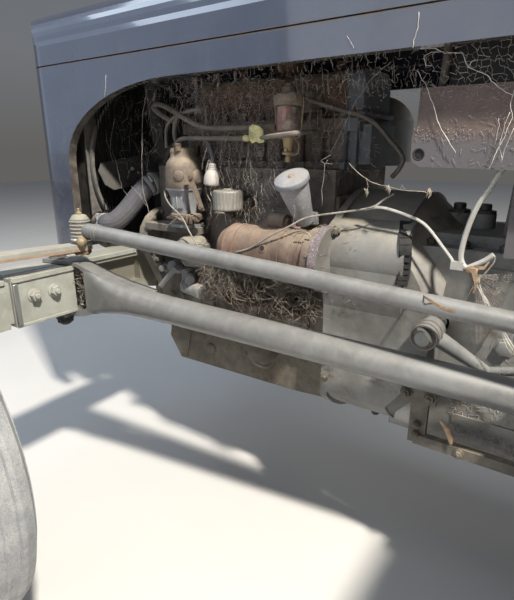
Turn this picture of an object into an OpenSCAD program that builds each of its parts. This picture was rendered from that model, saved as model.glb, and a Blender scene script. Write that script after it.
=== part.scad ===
/* [Wheels and axles] */
// Distance from the front axle line to the rear axle
wheelbase = 1830; // [1780:5:1900]
// Centre-to-centre distance of the front wheels
front_track = 1552; // [1520:4:1560]
// Centre-to-centre distance of the rear wheels
rear_track = 1422; // [1400:2:1480]
// Outer radius of the front tyres
front_tyre_r = 365; // [355:1:372]
// Section width of the front tyres
front_tyre_w = 150; // [135:1:156]
// Outer radius of the rear tyres
rear_tyre_r = 636; // [610:2:650]
// Section width of the rear tyres
rear_tyre_w = 284; // [260:2:290]

/* [Bonnet] */
// Half the width of the bonnet
bonnet_hw = 260; // [254:1:270]
// Height of the middle of the bonnet's top above the ground
bonnet_top = 1232; // [1224:1:1245]
// Height of the seam between the bonnet's top panel and its sides
seam_z = 1087; // [1080:1:1094]
// Height of the upper edge of the engine opening
opening_z = 1034; // [1024:1:1042]
// Thickness of the bonnet's sheet metal
sheet = 3; // [2:0.5:4]

/* [Steering] */
// Diameter of the drag link tubes
drag_link_d = 33; // [28:1:36]
// Diameter of the radius rods
radius_rod_d = 58; // [48:1:60]
// Radius of the steering wheel
steering_r = 205; // [190:1:215]

/* [Hidden] */
$fn = 48;

// Lengths are written rearwards from the front axle line; y0 brings the middle of the machine to the origin.
front_end = -front_tyre_r;
rear_end = 2650;
y0 = -(front_end + rear_end) / 2;

paint = "#5f6672";        // slate grey bonnet paint
iron = "#6b6a66";         // grey cast iron, dusty
pale = "#b4b4a6";         // pale weathered grey
rod_grey = "#8b8b89";
rust = "#6e4a3a";
black = "#26262a";
rubber = "#3a3b40";
steel = "#9a9a9c";
copper = "#8a6650";

fw_x = front_track / 2;             // front wheel centre plane
rw_x = rear_track / 2;              // rear wheel centre plane
kp_x = fw_x - 151;                  // kingpin centre
kp_z = front_tyre_r;                // stub axle height
crank_z = 560;                      // crankshaft height
fan_z = 848;                        // fan and water pump height
fan_t = -70;                        // fan plane
arm_z = [535, 640];                 // lower and upper face of the axle beam
ball_f = [380, 54, 716];            // front ball of the left drag link
ball_r = [244, 1090, 632];          // rear ball of the left drag link
rod_f = [397, -20, 592];            // pin at the front of the left radius rod
rod_r = [187, 1075, 493];           // rear ball of the left radius rod
drop_z = 842;                       // height of the drop arm shaft
lift_t = 1905; lift_z = 800;        // hydraulic cross shaft
link_p = [200, 1800, 400];          // front pin of the left lower link
link_e = [330, 2612, 400];          // rear ball of the left lower link
lrod_u = [232, 2130, 812];          // upper pin of the left lift rod
lrod_l = [264, 2200, 400];          // lower pin of the left lift rod

// A cylinder between two points.
module bar(a, b, r1, r2 = -1, fn = 48) {
  d = b - a; l = norm(d);
  translate(a) rotate([0, acos(d[2] / l), atan2(d[1], d[0])]) cylinder(h = l, r1 = r1, r2 = r2 < 0 ? r1 : r2, $fn = fn);
}
// A cylinder along X, Y.
module cx(x0, x1, y, z, r, fn = 48) translate([min(x0, x1), y, z]) rotate([0, 90, 0]) cylinder(h = abs(x1 - x0), r = r, $fn = fn);
module cyl_y(x, ya, yb, z, r, r2 = -1, fn = 48) translate([x, ya, z]) rotate([-90, 0, 0]) cylinder(h = yb - ya, r1 = r, r2 = r2 < 0 ? r : r2, $fn = fn);
module box(a, b) translate(a) cube(b - a);
module both() { children(); mirror([1, 0, 0]) children(); }
module side(s) if (s > 0) children(); else mirror([1, 0, 0]) children();
// An outline drawn in the side view (rearward, up), from x0 to x1.
module slab(x0, x1) translate([x0, 0, 0]) rotate([90, 0, 90]) linear_extrude(x1 - x0) children();
// An outline drawn in the front view (left, up), from y0 to y1.
module plate(ya, yb) translate([0, yb, 0]) rotate([90, 0, 0]) linear_extrude(yb - ya) children();
// A ring around the lateral axis from a section drawn as (radius, sideways).
module wheel_ring(x, z, a = 360) translate([x, 0, z]) rotate([0, 90, 0]) rotate_extrude($fn = 96) children();

// Smooth line through a few points, and a tube along it.
function cr(a, b, c, d, t) = 0.5 * (2 * b + (c - a) * t + (2 * a - 5 * b + 4 * c - d) * t * t + (3 * b - a - 3 * c + d) * t * t * t);
function smooth(p, n) = [for (i = [0:len(p) - 2], k = [0:n - 1]) cr(p[max(i - 1, 0)], p[i], p[i + 1], p[min(i + 2, len(p) - 1)], k / n), p[len(p) - 1]];
function unit(v) = v / norm(v);
module tube(pts, r, n = 4, s = 10, up = [0.31, 0.17, 0.93]) {
  p = smooth(pts, n); m = len(p);
  q = [for (i = [0:m - 1]) let (t = unit(p[min(i + 1, m - 1)] - p[max(i - 1, 0)]), a = unit(cross(t, up)), b = cross(a, t))
    for (k = [0:s - 1]) p[i] + r * (cos(360 * k / s) * a + sin(360 * k / s) * b)];
  f = [for (i = [0:m - 2], k = [0:s - 1]) let (a = i * s + k, b = i * s + (k + 1) % s) each [[a, b, b + s], [a, b + s, a + s]]];
  polyhedron(q, concat(f, [[for (k = [0:s - 1]) s - 1 - k]], [[for (k = [0:s - 1]) (m - 1) * s + k]]));
}

// ---------- engine ----------
module engine_block() color(iron) {
  box([-130, 62, 452], [138, 556, 852]);
  // left side cover and ribs
  box([138, 210, 640], [146, 520, 770]);
  for (t = [230, 365, 500]) box([138, t - 9, 470], [150, t + 9, 640]);
  // front plate and timing case
  plate(36, 62) union() {
    translate([0, crank_z]) circle(138);
    translate([-70, 690]) circle(76);
    translate([118, 668]) circle(78);
    polygon([[-120, 640], [-62, 764], [150, 736], [190, 640], [120, 500], [-120, 500]]);
  }
  // water pump body
  cyl_y(0, 30, 62, fan_z, 50);
  box([-58, 36, 740], [58, 62, fan_z + 36]);
  bar([52, 56, 823], [112, 34, 812], 22);
  // shelf that carries the injection pump
  box([100, 62, 700], [196, 236, 716]);
  box([-134, 556, 470], [134, 564, 800]);
}
module cylinder_head() color(iron) {
  box([-84, 118, 853], [84, 572, 930]);
  box([-84, 112, 926], [98, 578, 951]);
  // columns down the left side
  for (i = [0:8]) cyl_v(92, 142 + i * 50, 853, 927, i % 2 == 0 ? 13 : 9);
  box([84, 150, 853], [112, 560, 866]);
  box([-60, 572, 862], [70, 596, 940]);
  // thermostat housing
  translate([0, 96, 880]) cylinder(h = 90, r = 34);
}
module cyl_v(x, y, za, zb, r, fn = 32) translate([x, y, za]) cylinder(h = zb - za, r = r, $fn = fn);
module rocker_cover() color(rust) {
  plate(150, 576) intersection() {
    translate([-72, 952]) square([144, 92]);
    union() { translate([-72, 952]) square([144, 66]); translate([-46, 952]) square([92, 92]); for (s = [-1, 1]) translate([s * 46, 1018]) circle(26); }
  }
  box([-82, 142, 952], [82, 584, 962]);
  for (t = [230, 490]) cyl_v(0, t, 1044, 1058, 13);
}
module oil_sump() color(iron) {
  slab(-126, 128) polygon([[64, 440], [64, 410], [60, 390], [98, 332], [470, 338], [546, 344], [552, 440]]);
  difference() { box([-138, 36, 436], [142, 556, 451.5]); cyl_y(0, 30, 62.5, crank_z, 138.5); }
  difference() { box([-110, 40, 420], [110, 62, 437]); cyl_y(0, 30, 62.5, crank_z, 138.5); }
  // rounded bulge at the left side
  intersection() {
    translate([112, 374, 414]) sphere(r = 46);
    box([120, 320, 345], [170, 450, 436.5]);
  }
  cyl_v(0, 300, 322, 340, 18);
}
module belt_groove() difference() { cyl_y(0, 7, 23, fan_z, 70); cyl_y(0, 3, 27, fan_z, 60); }
module cooling_fan() color(black) {
  cyl_y(0, -84, 27.5, fan_z, 22);
  cyl_y(0, fan_t + 3, fan_t + 8, fan_z, 60);
  difference() { cyl_y(0, 2, 27.5, fan_z, 64); belt_groove(); }
  for (a = [-7:90:263]) translate([0, fan_t, fan_z]) rotate([0, -a, 0]) {
    translate([121, 0, 0]) rotate([26, 0, 0]) difference() {
      translate([-54, -1.6, -38]) cube([149, 3.2, 76]);
      for (s = [-1, 1]) translate([95, 0, s * 38]) rotate([0, 45, 0]) cube([26, 9, 26], center = true);
    }
    translate([20, -2.5, -17]) cube([92, 5, 34]);
  }
}
module dynamo_and_belt() color(black) {
  // crankshaft pulley and belt
  cyl_y(0, 3, 31, crank_z, 73);
  plate(9, 21) difference() {
    hull() { translate([0, fan_z]) circle(68); translate([0, crank_z]) circle(80); translate([-200, 690]) circle(44); }
    hull() { translate([0, fan_z]) circle(61); translate([0, crank_z]) circle(72); translate([-200, 690]) circle(36); }
  }
  cyl_y(-200, 3, 40, 690, 38);
  cyl_y(-200, 38, 250, 690, 50);
  cyl_y(-200, 250, 264, 690, 36);
  box([-156, 80, 640], [-130.5, 220, 690]);
}
module radiator() color(black) {
  difference() {
    union() {
      box([-205, -196, 712], [205, -120, 1042]);
      box([-210, -204, 1040], [210, -112, 1116]);
      box([-210, -204, 656], [210, -112, 716]);
      for (s = [-1, 1]) box([s > 0 ? 203 : -215, -200, 660], [s > 0 ? 215 : -203, -116, 1100]);
    }
    for (i = [0:18]) box([-192 + i * 20.4, -197, 722], [-192 + i * 20.4 + 4, -178, 1034]);
  }
  translate([0, -158, 1114]) cylinder(h = 30, r = 30);
  cyl_y(0, -112, -92, 1092, 19.5);
  cyl_y(204, -112, -94, 702, 26);
}
module fan_shroud() color("#4b4c4c") {
  difference() {
    plate(-111.5, -108) translate([-225, 668]) square([450, 370]);
    cyl_y(0, -120, -100, fan_z, 216);
    cyl_y(204, -120, -100, 702, 30);
  }
  difference() { cyl_y(0, -111.5, -91, fan_z, 220); cyl_y(0, -120, -40, fan_z, 216); box([-300, -120, 500], [300, -40, 736]); }
  // rolled rear edge
  difference() { cyl_y(0, -97, -91, fan_z, 224); cyl_y(0, -120, -40, fan_z, 216); box([-300, -120, 500], [300, -40, 736]); }
}
module coolant_hoses() color("#55585e") {
  tube([[204, -91.5, 702], [204, -86, 702], [204, -80.5, 702], [216, -57, 707], [208, -36, 713], [188, -16, 737], [166, 2, 770], [146, 19, 797], [128, 28.7, 808.8], [120.8, 31.4, 810.2], [113.6, 33.5, 811.7]], 25.5, 4, 16);
  tube([[0, -90.5, 1092], [0, -78, 1092], [0, -40, 1093], [0, 20, 1088], [0, 66, 1062], [0, 90, 1016], [0, 96, 988], [0, 96, 973]], 22, 4, 14, [1, 0.1, 0.1]);
}
module injection_pump() color("#7a6656") {
  translate([182, 190, 0]) {
    intersection() { translate([0, 0, 716.5]) cylinder(h = 14, r = 46); box([-34, -60, 700], [60, 60, 740]); }
    box([-28, -25, 728], [30, 30, 792]);
    translate([0, 0, 786]) cylinder(h = 22, r1 = 36, r2 = 40);
    translate([0, 0, 808]) cylinder(h = 52, r = 42);
    translate([0, 0, 858]) cylinder(h = 22, r1 = 42, r2 = 27);
    translate([0, 0, 878]) cylinder(h = 20, r = 26);
    for (a = [20, 140, 260]) rotate(a) translate([26, 0, 872]) cylinder(h = 28, r = 8, $fn = 24);
    translate([34, 2, 812]) rotate([0, 90, 0]) cylinder(h = 18, r = 15, $fn = 24);
    box([20, 30, 740], [42, 36, 850]);
  }
  // lift pump below the shelf
  translate([196, 222, 0]) { translate([0, 0, 628]) cylinder(h = 40, r1 = 30, r2 = 40); translate([0, 0, 668]) cylinder(h = 14, r = 42); translate([0, 0, 682]) cylinder(h = 17, r = 26); }
  box([150.5, 204, 652], [170, 240, 682]);
}
module fuel_filter() color("#b5955c") {
  translate([186, 474, 0]) {
    translate([0, 0, 971]) cylinder(h = 22, r = 30);
    translate([0, 0, 992]) cylinder(h = 14, r = 14);
    translate([0, 0, 921]) cylinder(h = 51, r = 25);
    translate([0, 0, 913]) cylinder(h = 9, r = 22);
    translate([0, 0, 880]) cylinder(h = 34, r1 = 8, r2 = 12);
    translate([0, 0, 881]) cylinder(h = 5, r = 12);
    translate([0, 0, 867]) cylinder(h = 15, r = 6);
    box([-64, -12, 980], [0, 12, 992]);
    box([-112, -12, 963], [-62, 12, 1002]);
  }
}
module pipes_and_cable() color("#8d8273") {
  // return and feed pipes from the pump to the filter, and the leak-off loop
  tube([[176, 163, 905.5], [171, 154, 921], [168, 152, 941], [164, 157, 960], [158, 175, 972], [150, 201, 977], [142, 227, 975]], 5, 5, 8, [0.9, 0.3, 0.1]);
  tube([[190, 176, 904.5], [191, 192, 912.7], [190, 219, 915], [190, 319, 913.3], [194, 400, 913], [214, 449, 915], [222, 486, 917.7], [218, 508, 919.7], [200, 514, 921.5], [172, 511, 924], [113, 500, 926]], 5, 5, 8, [0.9, 0.1, 0.3]);
  tube([[158, 148, 951.5], [157, 115, 962.5], [156, 88, 976], [155, 73, 986.7], [155, 85, 994], [158, 118, 986.7], [163, 160, 969.4], [167, 200, 951.7], [170, 241, 938], [172, 297, 934.3], [176, 361, 933.7], [180, 407, 933.4], [184, 441, 932.5]], 6, 5, 8, [0.9, 0.3, 0.1]);
  // cable hanging between the engine and the steering box
  tube([[186, 640, 786], [194, 675, 792], [196, 719, 783], [197, 755, 769], [198, 790, 733], [199, 812, 708]], 2.6, 5, 6, [0.9, 0.3, 0.2]);
  tube([[197, 884, 990], [197, 884, 930], [198, 875, 883], [199, 860, 858], [200, 848, 831], [200, 836, 809], [200, 827, 780], [200, 821, 748], [200, 820, 720], [200, 829, 705], [200, 843, 711], [200, 858, 721], [200, 868, 731]], 4.5, 4, 8, [0.9, 0.3, 0.2]);
  box([194, 806, 700], [206, 826, 714]);
}
module oil_filler() color("#a9abae") {
  a = [170, 507, 752]; b = [222, 502, 842]; d = unit(b - a);
  bar(a, b - 14 * d, 18, 30);
  box([146.5, 486, 742], [176, 526, 768]);
  bar(b - 14 * d, b, 34.5);
  bar(b, b + 5 * d, 9);
}
module starter_motor() color(copper) {
  cyl_y(200, 352, 548, 686, 52);
  cyl_y(200, 330, 352, 686, 40, 52);
  cyl_y(200, 322, 330, 686, 16);
  difference() { cyl_y(200, 548, 565.5, 686, 60); box([100, 540, 600], [146.5, 570, 800]); }
  cyl_y(200, 372, 378, 686, 53.5);
  cyl_y(190, 440, 476, 748, 17);
}
module gearbox_case() color(iron) {
  difference() {
    union() {
      // bell housing with the starter bulge
      intersection() {
        union() {
          cyl_y(0, 566, 712, crank_z, 248);
          cyl_y(0, 712, 790, crank_z, 244, 180);
          cyl_y(0, 566, 582, crank_z, 256);
        }
        box([-186, 560, 300], [186, 800, 900]);
      }
      // bulge beside the flywheel that takes the starter
      plate(566, 726) union() { translate([139, 696]) circle(67); polygon([[60, 545], [186, 545], [188, 590], [201, 640], [203, 696], [139, 763], [60, 763]]); }
      plate(566, 584) union() { translate([200, 686]) circle(64); polygon([[100, 622], [200, 622], [200, 750], [100, 750]]); }
      // gearbox
      box([-148, 720, 356], [148, 1196, 724]);
      box([-110, 740, 724], [110, 1150, 744]);
      box([-122, 700, 330], [122, 1196, 360]);
      cyl_y(0, 1180, 1196, 545, 210);
      // side bosses for the radius rods
      for (s = [-1, 1]) cx(s * 146, s * 168, 1075, 493, 40);
      // selector turrets
      for (t = [765, 812]) cyl_v(0, t, 742, 772, 22);
    }
    box([-300, 560, 290], [300, 800, 312]);
    // opening of the clutch cross shaft
    cx(120, 200, 785, 584, 19);
  }
  both() { translate(rod_r) sphere(r = 27); cx(160, rod_r[0], rod_r[1], rod_r[2], 14); }
}
module rear_axle_case() color(iron) difference() {
  union() {
    plate(1197, 1290) union() { translate([-160, 372]) square([320, 330]); }
    slab(-176, 176) polygon([[1290, 372], [1290, 705], [1560, 760], [1980, 772], [2010, 740], [2010, 430], [1960, 372]]);
    // hydraulic lift cover
    box([-150, 1590, 760], [150, 1990, 836]);
    both() {
      cx(174, 200, wheelbase, rear_tyre_r, 140);
      translate([198, wheelbase, rear_tyre_r]) rotate([0, 90, 0]) cylinder(h = 264, r1 = 112, r2 = 74);
      cx(460, 500, wheelbase, rear_tyre_r, 118);
      box([148, 1856, 772], [205, 1954, 840]);
      // lower link pins
      cx(174, 222, link_p[1], link_p[2], 12);
    }
    // power take-off shaft and its cap
    cyl_y(0, 2010, 2036, 560, 62);
    cyl_y(0, 2036, 2106, 560, 17.5);
    // top link bracket
    for (s = [-1, 1]) box([s > 0 ? 22 : -34, 1990, 776], [s > 0 ? 34 : -22, 2062, 872]);
    box([-60, 1984, 770], [60, 2016, 872]);
  }
  cx(-260, 260, lift_t, lift_z, 28.05);
  for (s = [-1, 1]) cx(s * 10, s * 60, 2042, 836, 10);
}
// ---------- front end ----------
module front_bolster() color(iron) {
  difference() {
    union() {
      // walls in front of and over the beam, and cheeks back to the engine
      box([-120, -84, 512], [120, -66, 612]);
      box([-120, -84, 603], [120, 2, 612]);
      for (s = [-1, 1]) {
        box([s > 0 ? 106 : -120, -84, 603], [s > 0 ? 120 : -106, 2, 636]);
        box([s > 0 ? 106 : -120, 2, 612], [s > 0 ? 120 : -106, 6, 636]);
        box([s > 0 ? 106 : -120, 2.5, 496], [s > 0 ? 120 : -106, 30, 526]);
        box([s > 0 ? 106 : -120, 2.5, 496], [s > 0 ? 120 : -106, 6, 636]);
        box([s > 0 ? 86 : -134, 28, 496], [s > 0 ? 134 : -86, 35.5, 640]);
        box([s > 0 ? 106 : -120, -206, 560], [s > 0 ? 120 : -106, -66, 645]);
      }
      // shelf under the radiator
      box([-190, -214, 640], [190, -108, 655.5]);
      box([-120, -206, 560], [120, -194, 645]);
    }
    cyl_y(0, -90, -60, 560, 22.05);
  }
  cyl_y(0, -92, 2.5, 560, 22);
  // lugs and pins that the bonnet hinges on
  both() {
    for (x = [88, 111.5]) slab(x, x + 6.5) polygon([[-203, 606], [-203, 638.5], [-232, 637], [-243, 633], [-246, 625], [-243, 617], [-232, 613]]);
    cx(88, 118, -235, 625, 8);
  }
}
module axle_beam() difference() {
  plate(-62, 2) difference() {
    polygon([[-540, 535], [-180, 535], [-100, 518], [100, 518], [180, 535], [540, 535], [540, 640], [180, 641], [125, 600], [-125, 600], [-180, 641], [-540, 640]]);
    translate([0, 560]) circle(22.1);
  }
  // recessed web front and back
  for (s = [-1, 1], k = [0, 1]) translate([s * 266, k == 0 ? -62 : 2, 588]) cube([184, 44, 66], center = true);
  both() cyl_v(rod_f[0], rod_f[1], 520, 660, 11.05, 32);
}
module axle_arms() both() {
  box([402, 2.5, 536], [548, 42, 639]);
  box([560, -34, 536], [kp_x, 42, 639]);
  box([546, 2.5, 544], [562, 34, 631]);
  difference() {
    translate([kp_x, 0, 430]) cylinder(h = 222, r = 34);
    translate([kp_x, 0, 420]) cylinder(h = 240, r = 20.05);
  }
}
module front_axle() color(pale) { axle_beam(); difference() { axle_arms(); both() translate([kp_x, 0, 420]) cylinder(h = 240, r = 20.05); } }
module radius_rods() color(rod_grey) both() {
  a = [386, 90, 585]; d = unit(rod_r - a); yaw = atan2(d[0], d[1]);
  bar(a + 62 * d, rod_r - 42 * d, radius_rod_d / 2);
  // fork around the axle beam and its arm
  translate([rod_f[0], rod_f[1], 0]) rotate([0, 0, -yaw]) slab(-22, 22) difference() {
    union() {
      polygon([[-26, 522], [60, 521], [84, 525], [112, 534], [150, 541.5], [200, 546], [262, 545], [262, 597], [200, 608], [150, 620], [112, 634], [84, 644], [60, 650], [-26, 650]]);
    }
    polygon([[-40, 533.8], [64, 533.8], [64, 642.5], [-40, 642.5]]);
    translate([58, 588]) circle(53.5);
  }
  translate([rod_f[0], rod_f[1], 0]) { translate([0, 0, 508]) cylinder(h = 150, r = 11, $fn = 32); translate([0, 0, 650]) cylinder(h = 6, r = 19, $fn = 24); translate([0, 0, 506]) cylinder(h = 16, r = 17, $fn = 24); }
  // rear socket
  translate(rod_r) difference() { sphere(r = 40); sphere(r = 27.3); translate([-60, -60, -60]) cube([43, 120, 120]); }
}
module knuckle(s) side(s) color(pale) {
  cyl_v(kp_x, 0, 330, 690, 20, 48);
  // forged lower end and stub axle
  cyl_v(kp_x, 0, 322, 424, 32);
  cx(kp_x, kp_x + 46, 0, kp_z, 34);
  translate([kp_x + 46, 0, kp_z]) rotate([0, 90, 0]) cylinder(h = 92, r1 = 25, r2 = 17);
  // steering arm
  cyl_v(kp_x, 0, 659, 692, 33);
  translate([0, 0, 676]) linear_extrude(14) polygon([[kp_x + 8, -32], [kp_x - 40, -18], [ball_f[0] + 4, ball_f[1] - 20], [ball_f[0] - 16, ball_f[1] - 10], [ball_f[0] - 18, ball_f[1] + 12], [ball_f[0] + 2, ball_f[1] + 20], [kp_x - 40, 42], [kp_x + 10, 32]]);
  cyl_v(ball_f[0], ball_f[1], 666, 676, 13, 24);
  cyl_v(ball_f[0], ball_f[1], 690, 698, 15, 24);
}
module drag_link(s) side(s) color(rod_grey) {
  a = [ball_f[0], ball_f[1], 722]; b = ball_r; d = unit(b - a);
  cyl_v(a[0], a[1], 703, 744, 21);
  cyl_v(a[0], a[1], 744, 750, 14, 24);
  bar(a + 18 * d, a + 60 * d, 15);
  bar(a + 48 * d, b - 44 * d, drag_link_d / 2);
  bar(b - 46 * d, b - 16 * d, 14);
  translate(b) sphere(r = 24);
}
module drop_arm(s) side(s) color(iron) {
  cx(194, 222, 1090, drop_z, 34);
  slab(200, 214) polygon([[1062, drop_z - 10], [1118, drop_z - 10], [1106, ball_r[2] + 20], [1104, ball_r[2] - 16], [1076, ball_r[2] - 16], [1074, ball_r[2] + 20]]);
  cx(213, 218, ball_r[1], ball_r[2], 13);
}
module tyre_front(s) side(s) color(rubber) {
  w = front_tyre_w / 2; r = front_tyre_r;
  wheel_ring(fw_x, kp_z) polygon([[204, -49], [214.5, -64], [228, -w + 4], [270, -w], [312, -w + 3], [344, -w + 18], [358, -48], [r, -30], [r, -22], [r - 5, -20], [r - 5, -4], [r, -2], [r, 2], [r - 5, 4], [r - 5, 20], [r, 22], [r, 30], [358, 48], [344, w - 18], [312, w - 3], [270, w], [228, w - 4], [214.5, 64], [204, 49]]);
}
module wheel_front(s) side(s) color("#a9a9a0") {
  wheel_ring(fw_x, kp_z) polygon([[203.2, -66], [203.2, -50], [196, -38], [182, -34], [182, 34], [196, 38], [203.5, 50], [203.5, 66], [214, 66], [214, 72], [196, 72], [194, 46], [176, 40], [176, -40], [194, -46], [196, -72], [214, -72], [214, -66]]);
  difference() {
    wheel_ring(fw_x, kp_z) polygon([[38, -22], [80, -22], [120, 4], [178, 14], [178, 20], [118, 10], [78, -16], [38, -16]]);
    for (a = [0:60:300]) translate([fw_x, 0, kp_z]) rotate([a, 0, 0]) translate([-40, 0, 140]) rotate([0, 90, 0]) cylinder(h = 80, r = 15);
  }
  // hub
  difference() {
    union() { cx(fw_x - 72, fw_x + 22, 0, kp_z, 44); cx(fw_x + 22, fw_x + 40, 0, kp_z, 30); cx(fw_x - 34, fw_x - 22, 0, kp_z, 78); }
    translate([fw_x - 80, 0, kp_z]) rotate([0, 90, 0]) cylinder(h = 96, r1 = 25.6, r2 = 17.4);
  }
}
module tyre_rear(s) side(s) color(rubber) {
  w = rear_tyre_w / 2; r = rear_tyre_r;
  translate([0, wheelbase, 0]) wheel_ring(rw_x, r) polygon([[357, -83], [357, -117], [373, -117], [378, -w + 12], [400, -w + 4], [450, -w], [520, -w], [580, -w + 3], [612, -w + 12], [628, -w + 26], [r, -w + 44], [r, w - 44], [628, w - 26], [612, w - 12], [580, w - 3], [520, w], [450, w], [400, w - 4], [378, w - 12], [373, 117], [357, 117], [357, 83]]);
}
module wheel_rear(s) side(s) color("#a9a9a0") translate([0, wheelbase, 0]) {
  r = rear_tyre_r;
  wheel_ring(rw_x, r) polygon([[356.5, -118], [356.5, -84], [340, -70], [320, -66], [320, 66], [340, 70], [356.5, 84], [356.5, 118], [372, 118], [372, 126], [350, 126], [346, 82], [312, 74], [312, -74], [346, -82], [350, -126], [372, -126], [372, -118]]);
  difference() {
    wheel_ring(rw_x, r) polygon([[62, -128], [120, -128], [150, -100], [230, -60], [314, -56], [314, -48], [226, -50], [142, -90], [114, -118], [62, -118]]);
    for (a = [0:45:315]) translate([rw_x - 200, 0, r]) rotate([a, 0, 0]) translate([0, 0, 266]) rotate([0, 90, 0]) cylinder(h = 240, r = 22);
  }
  // hub
  cx(506, rw_x - 128, 0, r, 122);
  cx(rw_x - 140, rw_x - 84, 0, r, 66);
  for (a = [0:60:300]) translate([rw_x - 200, 0, r]) rotate([a, 0, 0]) translate([0, 0, 96]) rotate([0, 90, 0]) cylinder(h = 96, r = 11, $fn = 24);
}
// ---------- behind the engine ----------
module steering_box() color(iron) {
  box([-112, 868, 744.5], [112, 1150, 800]);
  slab(-120, 120) polygon([[866, 752], [872, 862], [900, 880], [1130, 880], [1150, 860], [1150, 752]]);
  cx(-192.5, 192.5, 1090, drop_z, 28);
  for (s = [-1, 1]) cx(s * 118, s * 188, 1090, drop_z, 44);
  // column
  bar([0, 1040, 860], [0, 1283, 1232], 26);
  // gear levers
  tube([[-40, 1130, 870], [-44, 1160, 900], [-52, 1200, 924], [-70, 1262, 950]], 9, 4, 10, [0.9, 0.1, 0.1]);
  tube([[46, 1130, 868], [50, 1160, 880], [64, 1224, 890]], 8, 4, 10, [0.9, 0.1, 0.1]);
  translate([-71, 1264, 952]) sphere(r = 20);
  translate([64, 1226, 890]) sphere(r = 17);
}
module instrument_panel() color(paint) {
  difference() {
    plate(1036, 1112) intersection() { translate([-244, 884]) square([488, 330]); union() { translate([-244, 884]) square([488, 250]); translate([-160, 884]) square([320, 330]); for (s = [-1, 1]) translate([s * 164, 1132]) circle(80); } }
    plate(1046, 1120) intersection() { translate([-236, 876]) square([472, 330]); union() { translate([-236, 876]) square([472, 256]); translate([-160, 876]) square([320, 330]); for (s = [-1, 1]) translate([s * 164, 1132]) circle(72); } }
    // way for the column
    bar([0, 1040, 860], [0, 1283, 1232], 32);
    box([-34, 1000, 870], [34, 1100, 960]);
  }
  // tilted dial board
  difference() {
    slab(-232, 232) polygon([[1047, 1198], [1052, 1200], [1108, 1080], [1110, 960], [1104, 960], [1102, 1078]]);
    bar([0, 1040, 860], [0, 1283, 1232], 32);
  }
  for (x = [-150, -78, 78, 150]) translate([x, 1080, 1140]) rotate([-65, 0, 0]) cylinder(h = 14, r = 30);
}
module battery_box() color("#5a4f48") { battery(); battery_tray(); }
module battery_tray() {
  difference() {
    union() {
      both() slab(216, 220) polygon([[727, 879], [733, 869], [744, 864], [1034, 859], [1034, 982], [734, 982], [733, 930], [727, 912]]);
      box([-217, 734, 966], [217, 1034, 970]);
    }
    for (s = [-1, 1]) cx(s * 205, s * 230, 740, 883, 9);
    // gap around the loose cable's run
    box([184, 868, 960], [212, 912, 975]);
  }
  // legs down to the gearbox
  both() for (t = [880, 1000]) { box([178, t, 724.5], [184, t + 22, 968]); box([122, t, 724.5], [184, t + 22, 732]); }
}
module battery() {
  box([14, 760, 970.5], [182, 1010, 1150]);
  box([20, 766, 1150], [176, 1004, 1162]);
  for (t = [790, 980]) cyl_v(150, t, 1162, 1176, 9, 24);
  for (i = [0:5]) cyl_v(60, 790 + i * 38, 1162, 1168, 10, 24);
}
module fuel_tank() color(paint) {
  difference() {
    plate(756, 1030) intersection() { translate([-205, 970.5]) square([207, 208]); union() { translate([-205, 970.5]) square([207, 160]); translate([-150, 970.5]) square([152, 208]); translate([-151, 1124]) circle(54); } }
  }
  translate([-90, 900, 1176]) cylinder(h = 20, r = 32);
}
module air_cleaner() color("#8d9299") {
  translate([-166, 520, 0]) {
    translate([0, 0, 862]) cylinder(h = 72, r = 79);
    intersection() { translate([0, 0, 930]) sphere(r = 83); translate([0, 0, 926]) cylinder(h = 100, r = 79); }
    translate([0, 0, 854]) cylinder(h = 10, r = 66);
  }
  // intake trunk to the manifold, and its foot on the block
  cyl_y(-150, 404.5, 452, 950, 24);
  box([-170, 500, 780], [-134.5, 540, 858]);
}
module exhaust() color(rust) {
  // manifold along the right side, down pipe and silencer
  box([-128, 150, 868], [-97, 404, 912]);
  box([-150, 330, 914], [-110, 400, 972]);
  box([-150, 330, 900], [-128, 400, 920]);
  for (t = [176, 274, 372]) box([-110, t - 20, 860], [-96.5, t + 20, 920]);
  tube([[-124, 300, 884], [-156, 300, 872], [-176, 302, 816], [-184, 310, 730], [-190, 330, 640], [-204, 360, 530], [-236, 392, 440], [-256, 408, 404], [-262, 424, 392]], 24, 4, 14, [0.3, 0.9, 0.1]);
  cyl_y(-262, 420, 780, 392, 50);
  cyl_y(-262, 410, 420, 392, 34, 50);
  cyl_y(-262, 780, 794, 392, 50, 26);
  tube([[-262, 790, 392], [-262, 840, 388], [-262, 920, 358], [-262, 1000, 346], [-262, 1300, 344], [-262, 1480, 344], [-270, 1560, 330]], 22, 4, 14, [0.1, 0.2, 0.95]);
}
// ---------- driver's place ----------
module seat() color(paint) { seat_pan(); seat_spring(); }
module seat_pan() {
  // pressed pan: curved in the side view, rounded in plan
  difference() {
    intersection() {
      translate([0, 0, 880]) linear_extrude(300) union() { translate([-160, 1560]) square([320, 420]); for (s = [-1, 1]) { translate([s * 120, 1680]) circle(120); translate([s * 90, 1900]) circle(110); } }
      slab(-250, 250) difference() {
        union() { translate([1540, 930]) square([480, 230]); }
        translate([1760, 1290]) circle(300, $fn = 96);
        translate([1540, 1010]) square([130, 200]);
        difference() { translate([1500, 800]) square([600, 400]); translate([1760, 1290]) circle(306, $fn = 96); }
      }
    }
    for (x = [-60, 0, 60], t = [1700, 1760, 1820]) cyl_v(x, t, 900, 1100, 9, 24);
  }
}
module seat_spring() {
  slab(-30, 30) polygon([[1700, 836.5], [1960, 836.5], [1982, 846], [1800, 988], [1770, 988], [1770, 975], [1792, 970], [1950, 848], [1700, 848]]);
  for (s = [-1, 1]) cyl_v(s * 18, 1720, 840, 856, 9, 24);
}
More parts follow.
